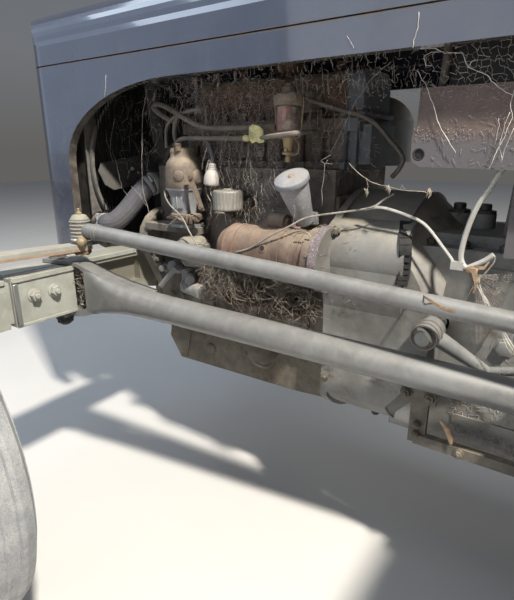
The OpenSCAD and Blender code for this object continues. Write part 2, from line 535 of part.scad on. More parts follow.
module fenders() color(paint) both() {
  r = 704;
  translate([0, wheelbase, rear_tyre_r]) difference() {
    union() {
      translate([412, 0, 0]) rotate([0, 90, 0]) difference() { cylinder(h = 236, r = r, $fn = 96); translate([0, 0, -1]) cylinder(h = 240, r = r - 4, $fn = 96); }
      translate([412, 0, 0]) rotate([0, 90, 0]) cylinder(h = 4, r = r, $fn = 96);
      translate([644, 0, 0]) rotate([0, 90, 0]) difference() { cylinder(h = 4, r = r, $fn = 96); translate([0, 0, -1]) cylinder(h = 6, r = r - 22, $fn = 96); }
    }
    // cut away below the axle, behind and low at the front
    translate([300, -900, -900]) cube([500, 1800, 960]);
    translate([300, 0, 0]) rotate([0, 0, 0]) slabcut([[560, 0], [900, 0], [900, 900], [470, 560]]);
    translate([300, 0, 0]) slabcut([[-900, -100], [-600, -100], [-640, 200], [-900, 200]]);
    translate([400, 0, 0]) rotate([0, 90, 0]) cylinder(h = 24, r = 112);
  }
  // brackets to the axle
  box([414, wheelbase - 60, rear_tyre_r + 118.5], [498, wheelbase + 60, rear_tyre_r + 128]);
}
module slabcut(p) rotate([90, 0, 90]) linear_extrude(500) polygon(p);
module footrests() color(iron) both() {
  difference() {
    union() {
      box([176.5, 1172, 398], [470, 1250, 404]);
      box([440, 1176, 362], [446, 1244, 399]);
      box([180, 1176, 376], [470, 1182, 399]);
      box([180, 1240, 376], [470, 1246, 399]);
      box([160.5, 1200, 376], [186, 1246, 404]);
      box([188, 776, 352], [204, 1172, 372]);
      box([180, 1150, 356], [204, 1190, 399]);
      box([186.5, 764, 352], [198, 796, 470]);
      box([186.5, 744, 436], [198, 808, 470]);
    }
    cx(150, 600, 700, 400, 1);
  }
  for (i = [0:4]) box([204 + i * 52, 1172, 404], [210 + i * 52, 1250, 409]);
}
module pedals() color(iron) {
  // clutch at the left, two brakes at the right
  both() cx(148.5, 300, 1010, 560, 15);
  // clutch cross shaft, its lever and rod
  cx(124, 252, 785, 584, 14);
  cx(187.5, 244, 785, 584, 23);
  bar([204, 800, 574], [172, 880, 519], 15, 10);
  bar([172, 880, 519], [166, 1004, 552], 8);
  for (x = [262, -222, -285]) {
    tube([[x, 1010, 560], [x + (x > 0 ? 20 : -20), 1060, 566], [x + (x > 0 ? 50 : -50), 1130, 548], [x + (x > 0 ? 60 : -60), 1190, 520]], 11, 4, 10, [0.9, 0.1, 0.4]);
    translate([x + (x > 0 ? 60 : -60), 1196, 520]) rotate([-35, 0, 0]) cube([62, 10, 84], center = true);
  }
  for (s = [-1, 1]) cx(s * 148.5, s * 200, 1010, 560, 26);
}
module drawbar() color(iron) {
  difference() {
    box([-40, 1700, 300], [40, 2330, 330]);
    for (t = [2210, 2290]) cyl_v(0, t, 290, 340, 11);
  }
  for (s = [-1, 1]) box([s > 0 ? 40 : -52, 1880, 300], [s > 0 ? 52 : -40, 1960, 372]);
  box([-90, 1690, 300], [90, 1730, 372]);
}
// ---------- three-point linkage ----------
module lift_arms() color(iron) {
  cx(-214, 214, lift_t, lift_z, 28);
  both() {
    cx(207, 250, lift_t, lift_z, 42);
    slab(214, 236) polygon([[lift_t - 34, lift_z - 22], [lift_t + 10, lift_z + 40], [2140, 832], [2150, 812], [2140, 792], [lift_t + 10, lift_z - 40]]);
    cx(230, 272, lrod_u[1], lrod_u[2], 11);
  }
}
module lift_rods() both() color(rod_grey) {
  u = [254, lrod_u[1], lrod_u[2]]; l = [297, lrod_l[1], lrod_l[2]];
  difference() {
    union() {
      bar(u - 20 * unit(u - l), l + 16 * unit(u - l), 13);
      bar(u + 0.42 * (l - u), u + 0.60 * (l - u), 20);
      cx(240, 268, u[1], u[2], 24);
      cx(285, 309, l[1], l[2], 22);
    }
    cx(230, 280, u[1], u[2], 11.05);
  }
}
module lower_links() both() color(iron) {
  difference() {
    union() {
      cx(192, 216, link_p[1], link_p[2], 30);
      hull() { cx(195, 213, link_p[1] + 10, link_p[2], 23); cx(link_e[0] - 9, link_e[0] + 9, link_e[1] - 10, link_e[2], 23); }
    }
    cx(link_p[0] - 40, link_p[0] + 40, link_p[1], link_p[2], 12.05);
    cx(link_e[0] - 60, link_e[0] + 60, link_e[1], link_e[2], 30);
  }
  difference() {
    cx(link_e[0] - 19, link_e[0] + 19, link_e[1], link_e[2], 38);
    cx(link_e[0] - 30, link_e[0] + 30, link_e[1], link_e[2], 11.2);
  }
}
module steering_wheel() color(black) translate([0, 1283, 1232]) rotate([-33.2, 0, 0]) {
  difference() { cylinder(h = 46, r = 34); translate([0, 0, -1]) cylinder(h = 20, r = 26.05); }
  translate([0, 0, 34]) rotate_extrude($fn = 96) translate([steering_r - 12, 0]) circle(12, $fn = 32);
  for (a = [90, 210, 330]) rotate(a) translate([0, 0, 30]) rotate([0, 90, 0]) cylinder(h = steering_r - 14, r = 7, $fn = 24);
}
// ---------- bonnet ----------
// Three outlines give its outer form; each is drawn in by d for the inside face.
module form(d) intersection() {
  translate([0, 0, 500]) linear_extrude(800) union() {
    translate([-bonnet_hw + d, -205]) square([2 * (bonnet_hw - d), 1400]);
    translate([-170, -296 + d]) square([340, 400]);
    for (s = [-1, 1]) translate([s * (bonnet_hw - 90), -205]) circle(90 - d, $fn = 64);
  }
  plate(-400, 1200) polygon([for (s = [1, -1]) each s > 0 ? roof(d) : [for (i = [len(roof(d)) - 1:-1:0]) [-roof(d)[i][0], roof(d)[i][1]]]]);
  slab(-300, 300) union() {
    translate([-300 + d, 400]) square([1600, bonnet_top - 90 - 400]);
    translate([-210, 400]) square([1400, bonnet_top - d - 400]);
    translate([-210, bonnet_top - 90]) circle(90 - d, $fn = 64);
  }
}
function roof(d) = let (w = bonnet_hw - d, z = bonnet_top - d) concat(
  [[w, 400], [w, seam_z + 46], [w - 4, seam_z + 58]],
  [for (a = [0:9:81]) [w - 74 + 70 * cos(a), seam_z + 58 + (z - 14 - seam_z - 58) * sin(a)]],
  [[w - 74, z - 14], [w - 130, z - 5], [60, z]]);
// Side view of everything below the opening's edge, drawn out by e.
module opening(e) union() {
  translate([-136 - e, 300]) square([1400, 560]);
  translate([230, 300]) square([1100, opening_z + e - 300]);
  translate([230, 860]) scale([1, 1]) polygon(concat([[0, 0]], [for (a = [90:7.5:180]) [(366 + e) * cos(a), (opening_z + e - 860) * sin(a)]]));
}
module shell() difference() { form(0); form(sheet); translate([-500, 1020, 300]) cube([1000, 500, 1200]); }
module bonnet_top_panel() color(paint) difference() {
  shell();
  box([-400, -500, 300], [400, 1300, seam_z + 2.5]);
}
module bonnet_sides() color(paint) {
  difference() {
    shell();
    box([-400, -500, seam_z], [400, 1300, 1400]);
    slab(-400, 400) opening(0);
    box([-400, -500, 300], [400, 1300, 604]);
    // front opening behind the grille
    box([-178, -330, 640], [178, -220, 1058]);
  }
  // folded edge along the opening
  both() intersection() {
    box([bonnet_hw - 22, -400, 604], [bonnet_hw - sheet + 0.5, 1020, seam_z - 2]);
    difference() { slab(0, 400) opening(sheet); slab(-1, 401) opening(0); }
  }
  // ledge that carries the top panel
  both() box([bonnet_hw - 20, -180, seam_z - 6], [bonnet_hw - sheet + 0.5, 1018, seam_z]);
}
module grille() color(steel) {
  difference() { box([-184, -290, 634], [184, -284, 1064]); box([-168, -300, 650], [168, -280, 1048]); }
  for (i = [0:14]) box([-156 + i * 22, -289, 645], [-148 + i * 22, -285, 1053]);
  box([-9, -298, 641], [9, -285, 1057]);
  for (z = [760, 900]) box([-170, -286, z], [170, -283, z + 8]);
  // hinge eyes of the bonnet
  both() difference() {
    slab(98, 108) polygon([[-289, 636], [-289, 652], [-262, 644], [-241, 638], [-230, 637], [-223.5, 631], [-222, 625], [-224, 618], [-231, 612.5], [-240, 612.5], [-247, 618]]);
    cx(90, 116, -235, 625, 8.3);
  }
}

module place() translate([0, y0, 0]) children();
place() engine_block();
place() cylinder_head();
place() rocker_cover();
place() oil_sump();
place() cooling_fan();
place() dynamo_and_belt();
place() radiator();
place() fan_shroud();
place() coolant_hoses();
place() front_bolster();
place() front_axle();
place() radius_rods();
place() gearbox_case();
place() rear_axle_case();
place() steering_box();
place() instrument_panel();
place() fuel_tank();
place() battery_box();
place() air_cleaner();
place() exhaust();
place() injection_pump();
place() fuel_filter();
place() pipes_and_cable();
place() oil_filler();
place() starter_motor();
place() seat();
place() fenders();
place() footrests();
place() pedals();
place() drawbar();
place() lift_arms();
place() lift_rods();
place() lower_links();
place() wheel_rear(1);  // rear_wheel_left
place() tyre_rear(1);  // rear_tyre_left
place() wheel_rear(-1);  // rear_wheel_right
place() tyre_rear(-1);  // rear_tyre_right
place() wheel_front(1);  // front_wheel_left
place() tyre_front(1);  // front_tyre_left
place() wheel_front(-1);  // front_wheel_right
place() tyre_front(-1);  // front_tyre_right
place() knuckle(1);  // knuckle_left
place() knuckle(-1);  // knuckle_right
place() drag_link(1);  // drag_link_left
place() drag_link(-1);  // drag_link_right
place() drop_arm(1);  // drop_arm_left
place() drop_arm(-1);  // drop_arm_right
place() steering_wheel();
place() bonnet_top_panel();
place() bonnet_sides();
place() grille();
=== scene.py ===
import bpy, bmesh, math, random
from mathutils import Vector, Matrix, Quaternion


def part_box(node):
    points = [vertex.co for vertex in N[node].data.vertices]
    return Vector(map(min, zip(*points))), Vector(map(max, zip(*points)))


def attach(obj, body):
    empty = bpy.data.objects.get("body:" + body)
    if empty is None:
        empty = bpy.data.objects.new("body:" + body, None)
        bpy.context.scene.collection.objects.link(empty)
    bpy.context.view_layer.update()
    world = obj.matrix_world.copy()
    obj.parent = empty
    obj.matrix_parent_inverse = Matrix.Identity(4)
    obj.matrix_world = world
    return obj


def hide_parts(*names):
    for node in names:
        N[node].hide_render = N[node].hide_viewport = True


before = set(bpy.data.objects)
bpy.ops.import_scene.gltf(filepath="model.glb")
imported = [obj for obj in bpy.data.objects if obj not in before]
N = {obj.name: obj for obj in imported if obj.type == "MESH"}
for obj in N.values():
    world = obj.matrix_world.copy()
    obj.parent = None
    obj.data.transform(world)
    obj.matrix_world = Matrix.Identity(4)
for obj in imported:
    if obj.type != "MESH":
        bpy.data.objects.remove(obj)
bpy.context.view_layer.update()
scene = bpy.context.scene


def P(x, t, z):
    """x to the tractor's left, t rearwards of the front axle, z up, in millimetres, to the shared frame in metres."""
    return Vector((x / 1000, t / 1000 - 1.1425, z / 1000))


# ---------------------------------------------------------------- camera
cam_data = bpy.data.cameras.new("camera")
cam_data.lens = 28.8
cam_data.sensor_width = 36.0
cam_data.clip_start, cam_data.clip_end = 0.02, 100
cam = bpy.data.objects.new("camera", cam_data)
scene.collection.objects.link(cam)
cam.location = (1.03, 0.99 - 1.1425, 0.89)
TH, PH = math.radians(55.0), math.atan(150 / 480)
cam_dir = Vector((-math.sin(TH) * math.cos(PH), -math.cos(TH) * math.cos(PH), -math.sin(PH)))
cam.rotation_mode = "QUATERNION"
cam.rotation_quaternion = cam_dir.to_track_quat("-Z", "Y")
scene.camera = cam


# ---------------------------------------------------------------- lights and floor
def area(name, loc, target, size, power, colour=(1, 1, 1), size_y=None):
    d = bpy.data.lights.new(name, "AREA")
    d.energy, d.size, d.color = power, size, colour
    if size_y:
        d.shape, d.size_y = "RECTANGLE", size_y
    o = bpy.data.objects.new(name, d)
    o.location = loc
    o.rotation_mode = "QUATERNION"
    o.rotation_quaternion = (Vector(target) - Vector(loc)).to_track_quat("-Z", "Y")
    scene.collection.objects.link(o)
    return o


area("key", (1.75, 2.1, 4.9), (0.25, -0.75, 0.6), 0.30, 640, (1.0, 0.95, 0.86))
area("fill", (4.2, -1.6, 1.7), (0.2, -0.75, 0.7), 2.6, 21, (0.90, 0.94, 1.0))
area("sky_side", (3.6, -5.4, 3.2), (0.25, -0.6, 1.1), 5.0, 24, (0.58, 0.74, 1.0))
area("sky_wide", (4.4, -5.8, 4.0), (0.25, -0.6, 1.0), 8.0, 60, (0.62, 0.76, 1.0))
area("top", (-0.6, -1.4, 4.6), (0.0, -0.6, 0.6), 3.0, 42, (0.74, 0.85, 1.0))
area("sky_box", (1.7, -3.8, 4.7), (0.2, -0.9, 1.1), 2.4, 55, (0.74, 0.85, 1.0))
area("back", (-3.4, 1.6, 3.0), (0.0, 0.0, 0.6), 2.4, 40, (1.0, 0.98, 0.94))

world = bpy.data.worlds.new("world")
scene.world = world
world.use_nodes = True
wt = world.node_tree
wt.nodes.clear()
wo = wt.nodes.new("ShaderNodeOutputWorld")
wb = wt.nodes.new("ShaderNodeBackground")
wt.links.new(wb.outputs[0], wo.inputs[0])
wc = wt.nodes.new("ShaderNodeTexCoord")
ws = wt.nodes.new("ShaderNodeSeparateXYZ")
wr = wt.nodes.new("ShaderNodeValToRGB")
wt.links.new(wc.outputs["Generated"], ws.inputs[0])
wt.links.new(ws.outputs[2], wr.inputs[0])
wt.links.new(wr.outputs[0], wb.inputs[0])
wr.color_ramp.elements[0].position = 0.0
wr.color_ramp.elements[0].color = (0.62, 0.60, 0.57, 1)
wr.color_ramp.elements[1].position = 0.7
wr.color_ramp.elements[1].color = (0.58, 0.66, 0.82, 1)
e = wr.color_ramp.elements.new(0.16)
e.color = (0.80, 0.84, 0.90, 1)
wb.inputs[1].default_value = 0.20

scene.view_settings.view_transform = "Standard"
scene.view_settings.look = "None"
scene.view_settings.exposure = 0.0


# ---------------------------------------------------------------- materials
class Mat:
    def __init__(s, name):
        s.m = bpy.data.materials.new(name)
        s.m.use_nodes = True
        s.t = s.m.node_tree
        s.t.nodes.clear()
        s.out = s.n("ShaderNodeOutputMaterial")
        s.b = s.n("ShaderNodeBsdfPrincipled")
        s.link(s.b.outputs[0], s.out.inputs[0])
        s.tc = s.n("ShaderNodeTexCoord")
        s.geo = s.n("ShaderNodeNewGeometry")
        s.xyz = s.n("ShaderNodeSeparateXYZ")
        s.link(s.tc.outputs["Object"], s.xyz.inputs[0])
        s.nrm = s.n("ShaderNodeSeparateXYZ")
        s.link(s.geo.outputs["Normal"], s.nrm.inputs[0])
        s.pos = s.tc.outputs["Object"]

    def n(s, kind):
        return s.t.nodes.new(kind)

    def link(s, a, b):
        s.t.links.new(a, b)

    def put(s, sock, v):
        if isinstance(v, bpy.types.NodeSocket):
            s.link(v, sock)
        elif isinstance(v, (tuple, list)) and len(v) == 3 and sock.type == "RGBA":
            sock.default_value = (*v, 1)
        else:
            sock.default_value = v

    def noise(s, scale, detail=5, rough=0.6, dist=0.0, vec=None, stretch=None, off=None):
        k = s.n("ShaderNodeTexNoise")
        k.inputs["Scale"].default_value = scale
        k.inputs["Detail"].default_value = detail
        k.inputs["Roughness"].default_value = rough
        k.inputs["Distortion"].default_value = dist
        v = vec or s.pos
        if stretch or off:
            q = s.n("ShaderNodeMapping")
            if stretch:
                q.inputs["Scale"].default_value = stretch
            if off:
                q.inputs["Location"].default_value = off
            s.link(v, q.inputs[0])
            v = q.outputs[0]
        s.link(v, k.inputs["Vector"])
        return k.outputs["Fac"]

    def voro(s, scale, feature="F1", vec=None, stretch=None, rand=1.0):
        k = s.n("ShaderNodeTexVoronoi")
        k.feature = feature
        k.inputs["Scale"].default_value = scale
        k.inputs["Randomness"].default_value = rand
        v = vec or s.pos
        if stretch:
            q = s.n("ShaderNodeMapping")
            q.inputs["Scale"].default_value = stretch
            s.link(v, q.inputs[0])
            v = q.outputs[0]
        s.link(v, k.inputs["Vector"])
        return k.outputs["Distance"]

    def step(s, v, a, b, lo=0.0, hi=1.0):
        k = s.n("ShaderNodeMapRange")
        k.interpolation_type = "SMOOTHSTEP"
        s.put(k.inputs["Value"], v)
        k.inputs["From Min"].default_value = a
        k.inputs["From Max"].default_value = b
        k.inputs["To Min"].default_value = lo
        k.inputs["To Max"].default_value = hi
        return k.outputs[0]

    def math(s, op, a, b=0.0, clamp=False):
        k = s.n("ShaderNodeMath")
        k.operation = op
        k.use_clamp = clamp
        s.put(k.inputs[0], a)
        s.put(k.inputs[1], b)
        return k.outputs[0]

    def mul(s, a, b):
        return s.math("MULTIPLY", a, b)

    def mix(s, f, a, b, mode="MIX"):
        k = s.n("ShaderNodeMix")
        k.data_type = "RGBA"
        k.blend_type = mode
        s.put(k.inputs[0], f)
        s.put(k.inputs[6], a)
        s.put(k.inputs[7], b)
        return k.outputs[2]

    def lerp(s, f, a, b):
        k = s.n("ShaderNodeMix")
        k.data_type = "FLOAT"
        s.put(k.inputs[0], f)
        s.put(k.inputs[2], a)
        s.put(k.inputs[3], b)
        return k.outputs[0]

    def bump(s, h, strength=0.5, dist=0.001, normal=None):
        k = s.n("ShaderNodeBump")
        k.inputs["Strength"].default_value = strength
        k.inputs["Distance"].default_value = dist
        s.link(h, k.inputs["Height"])
        if normal is not None:
            s.link(normal, k.inputs["Normal"])
        return k.outputs[0]

    def near(s, sock, v, w):
        """1 where the value is within w of v."""
        d = s.math("ABSOLUTE", s.math("SUBTRACT", sock, v))
        return s.step(d, w * 0.35, w, 1.0, 0.0)

    def done(s, colour=None, rough=None, metal=None, normal=None, **k):
        for n, v in (("Base Color", colour), ("Roughness", rough), ("Metallic", metal), ("Normal", normal)):
            if v is not None:
                s.put(s.b.inputs[n], v)
        for n, v in k.items():
            s.put(s.b.inputs[n.replace("_", " ")], v)
        return s.m


RUST = (0.17, 0.062, 0.026)
RUST2 = (0.30, 0.13, 0.055)
DUST = (0.43, 0.36, 0.26)
MATS = {}


def weather(name, base, dark=None, dust=DUST, up=0.5, film=0.25, rust=0.1, rough=0.55, metal=0.0, grain=0.3, lump=0.3, spots=0.0, scale=1.0, coat=0.0, grime=0.0, grime_col=(0.035, 0.028, 0.022)):
    """Paint or bare iron with dust lying on what faces up, a dusty film, rust patches, grime and a cast grain."""
    g = Mat(name)
    dark = dark or tuple(c * 0.62 for c in base)
    big = g.noise(5.5 * scale, 6, 0.62)
    med = g.noise(26 * scale, 8, 0.65, 0.4)
    fine = g.noise(310, 3, 0.6)
    c = g.mix(g.step(big, 0.36, 0.66), dark, base)
    c = g.mix(g.mul(g.step(med, 0.45, 0.75), 0.28), c, tuple(min(1, v * 1.45 + 0.02) for v in base))
    if spots:
        sp = g.step(g.voro(170 * scale), 0.10, 0.22, 1.0, 0.0)
        c = g.mix(g.mul(sp, spots), c, tuple(min(1, v * 2.1 + 0.06) for v in base))
    rgh = g.lerp(g.step(med, 0.3, 0.8), rough, min(1.0, rough + 0.18))
    if grime:
        gm = g.step(g.noise(9 * scale, 7, 0.7, 0.6, off=(3, 1, 7)), 0.62 - 0.3 * grime, 0.74 - 0.2 * grime)
        c = g.mix(g.mul(gm, 0.85), c, grime_col)
    if rust:
        rn = g.noise(13 * scale, 10, 0.72, 0.3, off=(1.7, 4.1, 0.3))
        rm = g.step(rn, 0.72 - 0.30 * rust, 0.80 - 0.30 * rust)
        rc = g.mix(g.step(med, 0.35, 0.7), RUST, RUST2)
        c = g.mix(g.mul(rm, 0.85), c, rc)
        rgh = g.lerp(rm, rgh, 0.88)
    # the film of dust is thicker on what faces up
    upf = g.step(g.nrm.outputs[2], 0.05, 0.95)
    dn = g.step(g.noise(38, 8, 0.7, off=(9, 2, 5)), 0.30, 0.72)
    dm = g.math("ADD", g.mul(g.mul(upf, up), g.lerp(dn, 0.55, 1.0)), g.mul(dn, film), True)
    c = g.mix(dm, c, g.mix(med, tuple(v * 0.8 for v in dust), dust))
    rgh = g.lerp(dm, rgh, 0.93)
    h = g.math("ADD", g.mul(fine, grain), g.mul(med, lump))
    nb = g.bump(h, 0.55, 0.0012)
    m = g.done(c, rgh, metal, nb, Coat_Weight=coat, Coat_Roughness=0.12)
    MATS[name] = m
    return m


def setm(node, m):
    o = N[node]
    if not o.data.materials:
        o.data.materials.append(m)
    for i in range(len(o.data.materials)):
        o.data.materials[i] = m


# bonnet: glossy slate blue-grey with dust low down and rust at its edges
def paint(name, seam=False):
    g = Mat(name)
    big = g.noise(3.2, 5, 0.55)
    med = g.noise(30, 8, 0.65, 0.3)
    fine = g.noise(420, 2, 0.5)
    c = g.mix(g.step(big, 0.35, 0.68), (0.034, 0.042, 0.068), (0.047, 0.057, 0.086))
    c = g.mix(g.mul(g.step(med, 0.56, 0.78), 0.04), c, (0.20, 0.22, 0.25))
    # fine dust film, thicker low down and on what faces up
    low = g.step(g.xyz.outputs[2], 0.60, 1.10, 0.50, 0.05)
    dn = g.noise(17, 9, 0.72, 0.5, off=(2, 8, 1))
    upf = g.mul(g.step(g.nrm.outputs[2], 0.3, 1.0), 0.12)
    dm = g.math("ADD", g.mul(g.step(dn, 0.34, 0.74), low), upf, True)
    streak = g.mul(g.step(g.noise(24, 5, 0.6, 0.2, stretch=(1, 1, 0.09)), 0.52, 0.75), g.lerp(low, 0.02, 0.4))
    dm = g.math("ADD", dm, streak, True)
    c = g.mix(g.mul(dm, 0.42), c, (0.30, 0.275, 0.24))
    r = g.lerp(dm, 0.10, 0.42)
    r = g.math("ADD", r, g.mul(g.step(med, 0.4, 0.8), 0.05), True)
    # small chips and rust runs
    ch = g.step(g.noise(85, 4, 0.75, off=(5, 5, 5)), 0.735, 0.765)
    c = g.mix(g.mul(ch, 0.8), c, (0.10, 0.055, 0.035))
    if seam:
        sz = g.math("ADD", g.xyz.outputs[2], g.mul(g.noise(60, 4, 0.6), 0.002))
        rm = g.mul(g.near(sz, 1.0885, 0.0042), g.step(g.noise(40, 6, 0.7), 0.30, 0.55))
        c = g.mix(rm, c, (0.062, 0.040, 0.030))
        r = g.lerp(rm, r, 0.9)
    if seam:
        # rust and painted shade on the edges that face down or rearwards, such as the lip of the opening
        lip = g.step(g.math("MAXIMUM", g.math("MULTIPLY", g.nrm.outputs[2], -1.0), g.nrm.outputs[1]), 0.30, 0.55)
        ln = g.noise(34, 7, 0.7, 0.4)
        lip_rust_shade_col = g.mix(g.step(ln, 0.38, 0.62), (0.045, 0.035, 0.028), (0.125, 0.105, 0.082))
        c = g.mix(g.mul(lip, 0.92), c, lip_rust_shade_col)
        r = g.lerp(lip, r, 0.8)
    h = g.math("ADD", g.mul(fine, 0.03), g.math("ADD", g.mul(g.noise(4, 1, 0.5), 2.2), g.mul(med, 0.015)))
    m = g.done(c, r, 0.0, g.bump(h, 0.30, 0.0016), Coat_Weight=1.0, Coat_Roughness=0.05, Coat_IOR=1.55, Specular_IOR_Level=0.6)
    MATS[name] = m
    return m


paint("bonnet", True)
paint("sheet_paint")
weather("engine", (0.142, 0.128, 0.120), dark=(0.074, 0.066, 0.062), up=0.50, film=0.20, rust=0.07, rough=0.72, grain=0.6, lump=0.8, grime=0.55)
weather("head", (0.112, 0.086, 0.079), dark=(0.054, 0.042, 0.039), up=0.55, film=0.24, rust=0.34, rough=0.75, grain=0.6, lump=0.8, grime=0.5)
weather("rocker", (0.115, 0.060, 0.047), dark=(0.050, 0.030, 0.026), up=0.40, film=0.26, rust=0.5, rough=0.8, grain=0.5, lump=0.6)
weather("sump", (0.132, 0.122, 0.100), dark=(0.076, 0.068, 0.055), up=0.5, film=0.24, rust=0.08, rough=0.7, grain=0.5, lump=0.5, grime=0.35, grime_col=(0.055, 0.042, 0.030))
weather("fan", (0.066, 0.066, 0.067), up=0.10, film=0.10, rust=0.12, rough=0.5)
weather("dynamo", (0.028, 0.028, 0.030), up=0.45, film=0.2, rust=0.1, rough=0.5)
weather("radiator", (0.012, 0.012, 0.013), up=0.6, film=0.10, rust=0.0, rough=0.6)
weather("shroud", (0.098, 0.100, 0.102), up=0.4, film=0.35, rust=0.12, rough=0.5)
weather("bolster", (0.17, 0.16, 0.14), up=0.5, film=0.35, rust=0.2, rough=0.7, grain=0.6, lump=0.7, grime=0.2)
weather("axle", (0.335, 0.345, 0.310), dark=(0.235, 0.24, 0.215), dust=(0.40, 0.365, 0.30), up=0.35, film=0.22, rust=0.06, rough=0.55, grain=0.5, lump=0.35, scale=1.6)
weather("rod", (0.172, 0.176, 0.176), dark=(0.118, 0.119, 0.118), dust=(0.36, 0.34, 0.30), up=0.20, film=0.12, rust=0.03, rough=0.36, grain=0.25, lump=0.12, scale=1.4, coat=0.35)
weather("gearbox", (0.205, 0.209, 0.204), dark=(0.118, 0.118, 0.114), up=0.35, film=0.16, rust=0.04, rough=0.50, grain=0.4, lump=0.35, grime=0.22)
weather("axle_case", (0.21, 0.21, 0.205), dark=(0.12, 0.115, 0.11), up=0.5, film=0.3, rust=0.08, rough=0.6, grain=0.5, lump=0.5, grime=0.25)
weather("steering", (0.078, 0.075, 0.073), up=0.45, film=0.2, rust=0.12, rough=0.6, grain=0.5, lump=0.6, grime=0.3)
weather("box_brown", (0.118, 0.080, 0.069), dark=(0.080, 0.054, 0.047), dust=(0.30, 0.26, 0.24), up=0.4, film=0.26, rust=0.06, rough=0.52, grain=0.15, lump=0.10, spots=0.15)
weather("cleaner", (0.31, 0.325, 0.355), dark=(0.20, 0.21, 0.235), up=0.5, film=0.28, rust=0.08, rough=0.42, grain=0.2, lump=1.6, spots=0.5)
weather("rusty", (0.16, 0.075, 0.042), dark=(0.085, 0.045, 0.032), up=0.35, film=0.2, rust=0.7, rough=0.85, grain=0.8, lump=0.9)
weather("pump", (0.30, 0.245, 0.19), dark=(0.19, 0.155, 0.125), up=0.45, film=0.35, rust=0.22, rough=0.75, grain=0.6, lump=0.6, grime=0.15)
weather("filler", (0.235, 0.25, 0.285), dark=(0.165, 0.175, 0.20), up=0.25, film=0.22, rust=0.08, rough=0.55, grain=0.5, lump=0.6, spots=0.35)
weather("starter", (0.190, 0.105, 0.078), dark=(0.110, 0.072, 0.060), up=0.42, film=0.26, rust=0.45, rough=0.55, grain=0.4, lump=0.4, metal=0.25)
weather("pipe", (0.165, 0.150, 0.140), up=0.4, film=0.35, rust=0.3, rough=0.5, metal=0.35)
weather("seat", (0.20, 0.22, 0.26), up=0.35, film=0.25, rust=0.35, rough=0.45, grain=0.3, lump=0.3)
weather("step", (0.105, 0.100, 0.090), up=0.5, film=0.3, rust=0.3, rough=0.65, grain=0.6, lump=0.5, metal=0.2)
weather("hitch", (0.13, 0.125, 0.115), up=0.45, film=0.28, rust=0.42, rough=0.65, grain=0.6, lump=0.5, metal=0.2)
weather("rim", (0.40, 0.40, 0.375), dark=(0.30, 0.30, 0.28), up=0.4, film=0.28, rust=0.16, rough=0.45, grain=0.25, lump=0.2)
weather("knuckle", (0.30, 0.305, 0.28), dark=(0.25, 0.25, 0.225), up=0.3, film=0.2, rust=0.14, rough=0.55, grain=0.5, lump=0.4, scale=1.5)
weather("wheel_rim", (0.020, 0.020, 0.021), up=0.14, film=0.08, rust=0.0, rough=0.35, grain=0.1, lump=0.1)
weather("grille", (0.24, 0.25, 0.27), up=0.4, film=0.25, rust=0.15, rough=0.35, grain=0.2, lump=0.2, metal=0.5)
weather("bolt", (0.30, 0.29, 0.27), up=0.3, film=0.2, rust=0.35, rough=0.45, metal=0.6, grain=0.3, lump=0.2, scale=2.5)
weather("bolt_dark", (0.12, 0.11, 0.10), up=0.4, film=0.3, rust=0.35, rough=0.6, metal=0.4, grain=0.3, lump=0.2, scale=2.5)
weather("black_metal", (0.018, 0.018, 0.020), up=0.3, film=0.10, rust=0.0, rough=0.45, grain=0.2, lump=0.2)
weather("brass", (0.36, 0.275, 0.155), dark=(0.21, 0.155, 0.095), up=0.25, film=0.3, rust=0.08, rough=0.5, metal=0.35, grain=0.2, lump=0.2, scale=2)
weather("cream", (0.335, 0.325, 0.275), dark=(0.20, 0.19, 0.155), up=0.2, film=0.15, rust=0.10, rough=0.6, grain=0.5, lump=0.4, scale=2)
weather("white_plastic", (0.50, 0.48, 0.47), dark=(0.34, 0.31, 0.29), up=0.2, film=0.22, rust=0.0, rough=0.5, grain=0.1, lump=0.1, scale=2)
weather("silver", (0.33, 0.32, 0.29), dark=(0.24, 0.23, 0.21), up=0.2, film=0.25, rust=0.0, rough=0.45, metal=0.45, grain=0.1, lump=0.1, scale=2)

for pair in """engine_block:engine cylinder_head:head rocker_cover:rocker oil_sump:sump cooling_fan:fan dynamo_and_belt:dynamo radiator:radiator
fan_shroud:shroud coolant_hoses:shroud front_bolster:bolster front_axle:axle radius_rods:rod gearbox_case:gearbox rear_axle_case:axle_case
steering_box:steering instrument_panel:sheet_paint fuel_tank:sheet_paint battery_box:box_brown air_cleaner:cleaner exhaust:rusty injection_pump:pump
fuel_filter:brass pipes_and_cable:pipe oil_filler:filler starter_motor:starter seat:seat fenders:sheet_paint footrests:step pedals:rod
drawbar:hitch lift_arms:hitch lift_rods:rod lower_links:hitch steering_wheel:wheel_rim bonnet_top_panel:bonnet bonnet_sides:bonnet grille:grille
rear_wheel_left:rim rear_wheel_right:rim front_wheel_left:rim front_wheel_right:rim knuckle_left:knuckle knuckle_right:knuckle
drag_link_left:rod drag_link_right:rod drop_arm_left:steering drop_arm_right:steering""".split():
    a, b = pair.split(":")
    setm(a, MATS[b])


def rubber(name, base, dust, amount):
    g = Mat(name)
    med = g.noise(22, 8, 0.7, 0.3)
    crack = g.step(g.voro(210, "DISTANCE_TO_EDGE"), 0.0, 0.10)
    c = g.mix(g.step(med, 0.35, 0.7), tuple(v * 0.7 for v in base), base)
    dm = g.mul(g.step(g.noise(12, 9, 0.72, off=(3, 3, 1)), 0.26, 0.66), amount)
    c = g.mix(dm, c, dust)
    c = g.mix(g.mul(g.step(crack, 0.2, 0.8, 1.0, 0.0), 0.35), c, tuple(v * 0.4 for v in base))
    h = g.math("ADD", g.mul(crack, 0.5), g.mul(med, 0.8))
    m = g.done(c, g.lerp(dm, 0.62, 0.92), 0.0, g.bump(h, 0.5, 0.0012))
    MATS[name] = m
    return m


